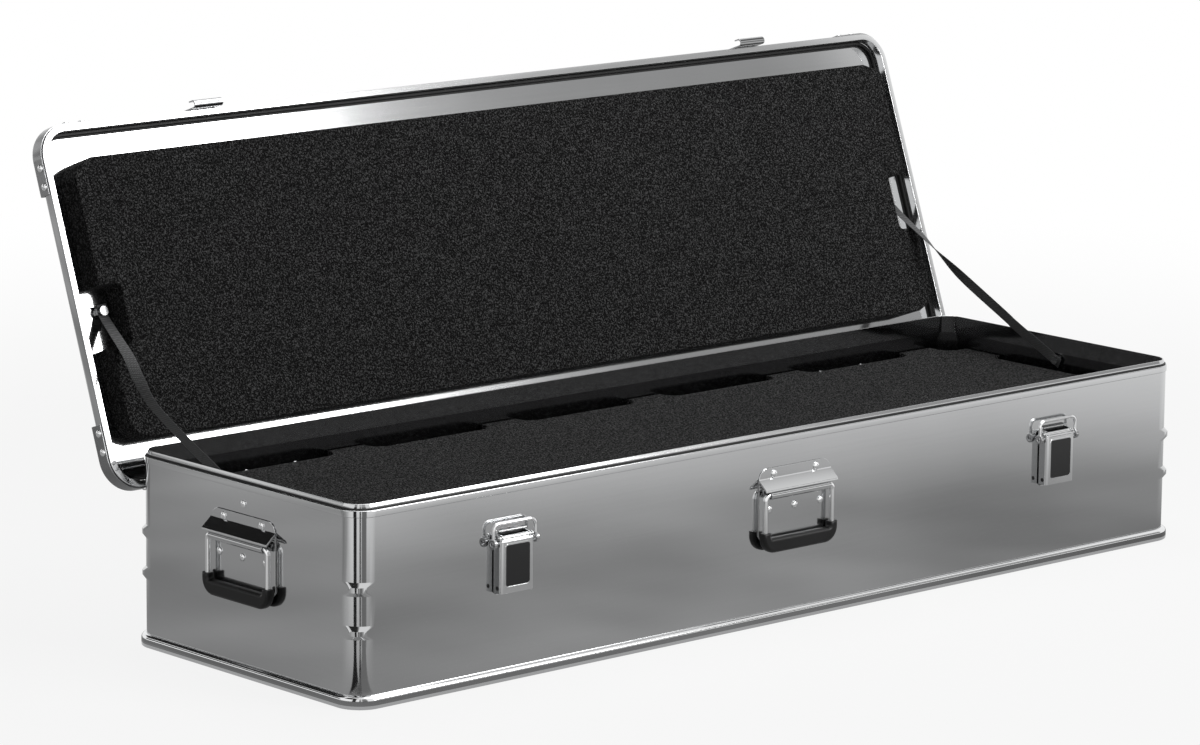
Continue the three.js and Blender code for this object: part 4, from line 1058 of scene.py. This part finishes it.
def softbox(name, place, aim, size, power):
    lamp = bpy.data.lights.new(name, "AREA")
    lamp.shape = "RECTANGLE"
    lamp.size, lamp.size_y = size
    lamp.energy = power
    aimed(set_out(name, lamp), place, aim, "-Z")


softbox("overhead_softbox", (0.5, 0.1, 2.6), (0, 0, 0), (2.4, 1.6), 42)
softbox("front_right_softbox", (1.6, -3.2, 1.8), (0.1, 0, 0.2), (1.9, 1.5), 70)


def grey_card(name, place, aim, size, tone, fade=0.2, cloud=0):
    """A soft-edged card of one tone: only mirrors see it, and it fades out towards its edges."""
    shader = bpy.data.materials.new(name)
    tree = bare_tree(shader)
    spot = tree.nodes.new("ShaderNodeTexCoord").outputs
    off = shade(tree, "ShaderNodeVectorMath", {0: spot["Generated"], 1: (0.5, 0.5, 0.5)},
                operation="SUBTRACT")
    off = shade(tree, "ShaderNodeVectorMath", {0: off.outputs[0]}, operation="ABSOLUTE")
    parts = shade(tree, "ShaderNodeSeparateXYZ", {0: off.outputs[0]})
    across, along = (shade(tree, "ShaderNodeMapRange", {
        "Value": parts.outputs[axis], "From Min": 0.5, "From Max": 0.5 - fade,
    }, interpolation_type="SMOOTHSTEP").outputs["Result"] for axis in ("X", "Y"))
    mask = shade(tree, "ShaderNodeMath", {0: across, 1: along}, operation="MULTIPLY").outputs[0]
    if cloud:
        drift = shade(tree, "ShaderNodeTexNoise",
                      {"Scale": 2.2, "Detail": 2, "Vector": spot["Object"]})
        patch = shade(tree, "ShaderNodeMapRange", {
            "Value": drift.outputs["Fac"], "From Min": 0.35, "From Max": 0.65,
            "To Min": 1 - cloud})
        mask = shade(tree, "ShaderNodeMath", {0: mask, 1: patch.outputs["Result"]},
                     operation="MULTIPLY").outputs[0]
    mixed(tree, mask, tree.nodes.new("ShaderNodeBsdfTransparent"),
          shade(tree, "ShaderNodeEmission", {"Color": (tone, tone, tone, 1)}))
    card = studio_sheet(name, size[0] / 2, size[1] / 2, shader)
    aimed(card, place, aim, "Z")
    card.visible_camera = False
    card.visible_diffuse = False
    card.visible_shadow = False
    card.visible_transmission = False
    return card


# Cards on the floor, painted shade that only the metal mirrors: a wide one round the case's foot
# for the shadow at its foot, and a darker one at its left and rear for the case's shadow there.
grey_card("floor_card_round_the_foot", (0.1, -0.1, 0.004), (0.1, -0.1, 1), (3.0, 2.2), 0.26,
          fade=0.34, cloud=0.25)
grey_card("floor_card_left_rear", (-2.0, 1.7, 0.006), (-2.0, 1.7, 1), (3.4, 4.2), 0.22,
          fade=0.16, cloud=0.4)
# Standing cards: one high on the right that darkens the rain roofs, and one beside the key lamp.
grey_card("card_high_right", (1.5, 0.1, 1.8), (0, 0, 0.2), (1.3, 1.3), 0.20, fade=0.2)
grey_card("card_beside_key_lamp", (2.35, -1.75, 1.35), (0.2, 0.2, 0.3), (1.1, 1.6), 0.40,
          fade=0.3)

# Slim standing cards before the near corner, which draw upright bands down its round edge, with
# a strip on the floor before each of them that carries the band down to the hoop.
corner_x, corner_y = -0.59, -0.17
card_away, strip_away = 0.25, 0.14
corner_bands = ((207, 0.085, 0.02), (232, 0.032, 0), (251, 0.13, 0.20))
for i, (turn, wide, tone) in enumerate(corner_bands):
    a = math.radians(turn)
    near = (corner_x + card_away * math.cos(a), corner_y + card_away * math.sin(a), 0.1)
    grey_card(f"slim_card_near_corner_{i + 1}", near, (corner_x, corner_y, 0.1), (wide, 0.8), tone)
    on_floor = (corner_x + strip_away * math.cos(a), corner_y + strip_away * math.sin(a))
    strip_card = grey_card(f"floor_strip_near_corner_{i + 1}", (*on_floor, 0.008), (*on_floor, 1),
                           (wide * 0.6, 0.25), tone, fade=0.12)
    strip_card.rotation_euler = (0, 0, a - math.pi / 2)

# Dark cards on the horizon, front right and rear left, and two high on the left.
grey_card("horizon_card_front_right", (2.2, -2.5, 0.85), (0.6, -0.2, 0.2), (3.0, 0.75), 0.02,
          fade=0.15)
grey_card("horizon_card_rear_left", (-2.4, 2.0, 0.80), (-0.6, 0, 0.2), (2.0, 0.75), 0.02, fade=0.15)
grey_card("card_high_left", (-1.5, -0.09, 1.67), (-0.6, -0.1, 0.12), (1.5, 1.3), 0.03, fade=0.2)
grey_card("card_high_rear_left", (-0.95, 1.45, 1.50), (-0.6, 0, 0.15), (2.2, 1.5), 0.015,
          fade=0.15)
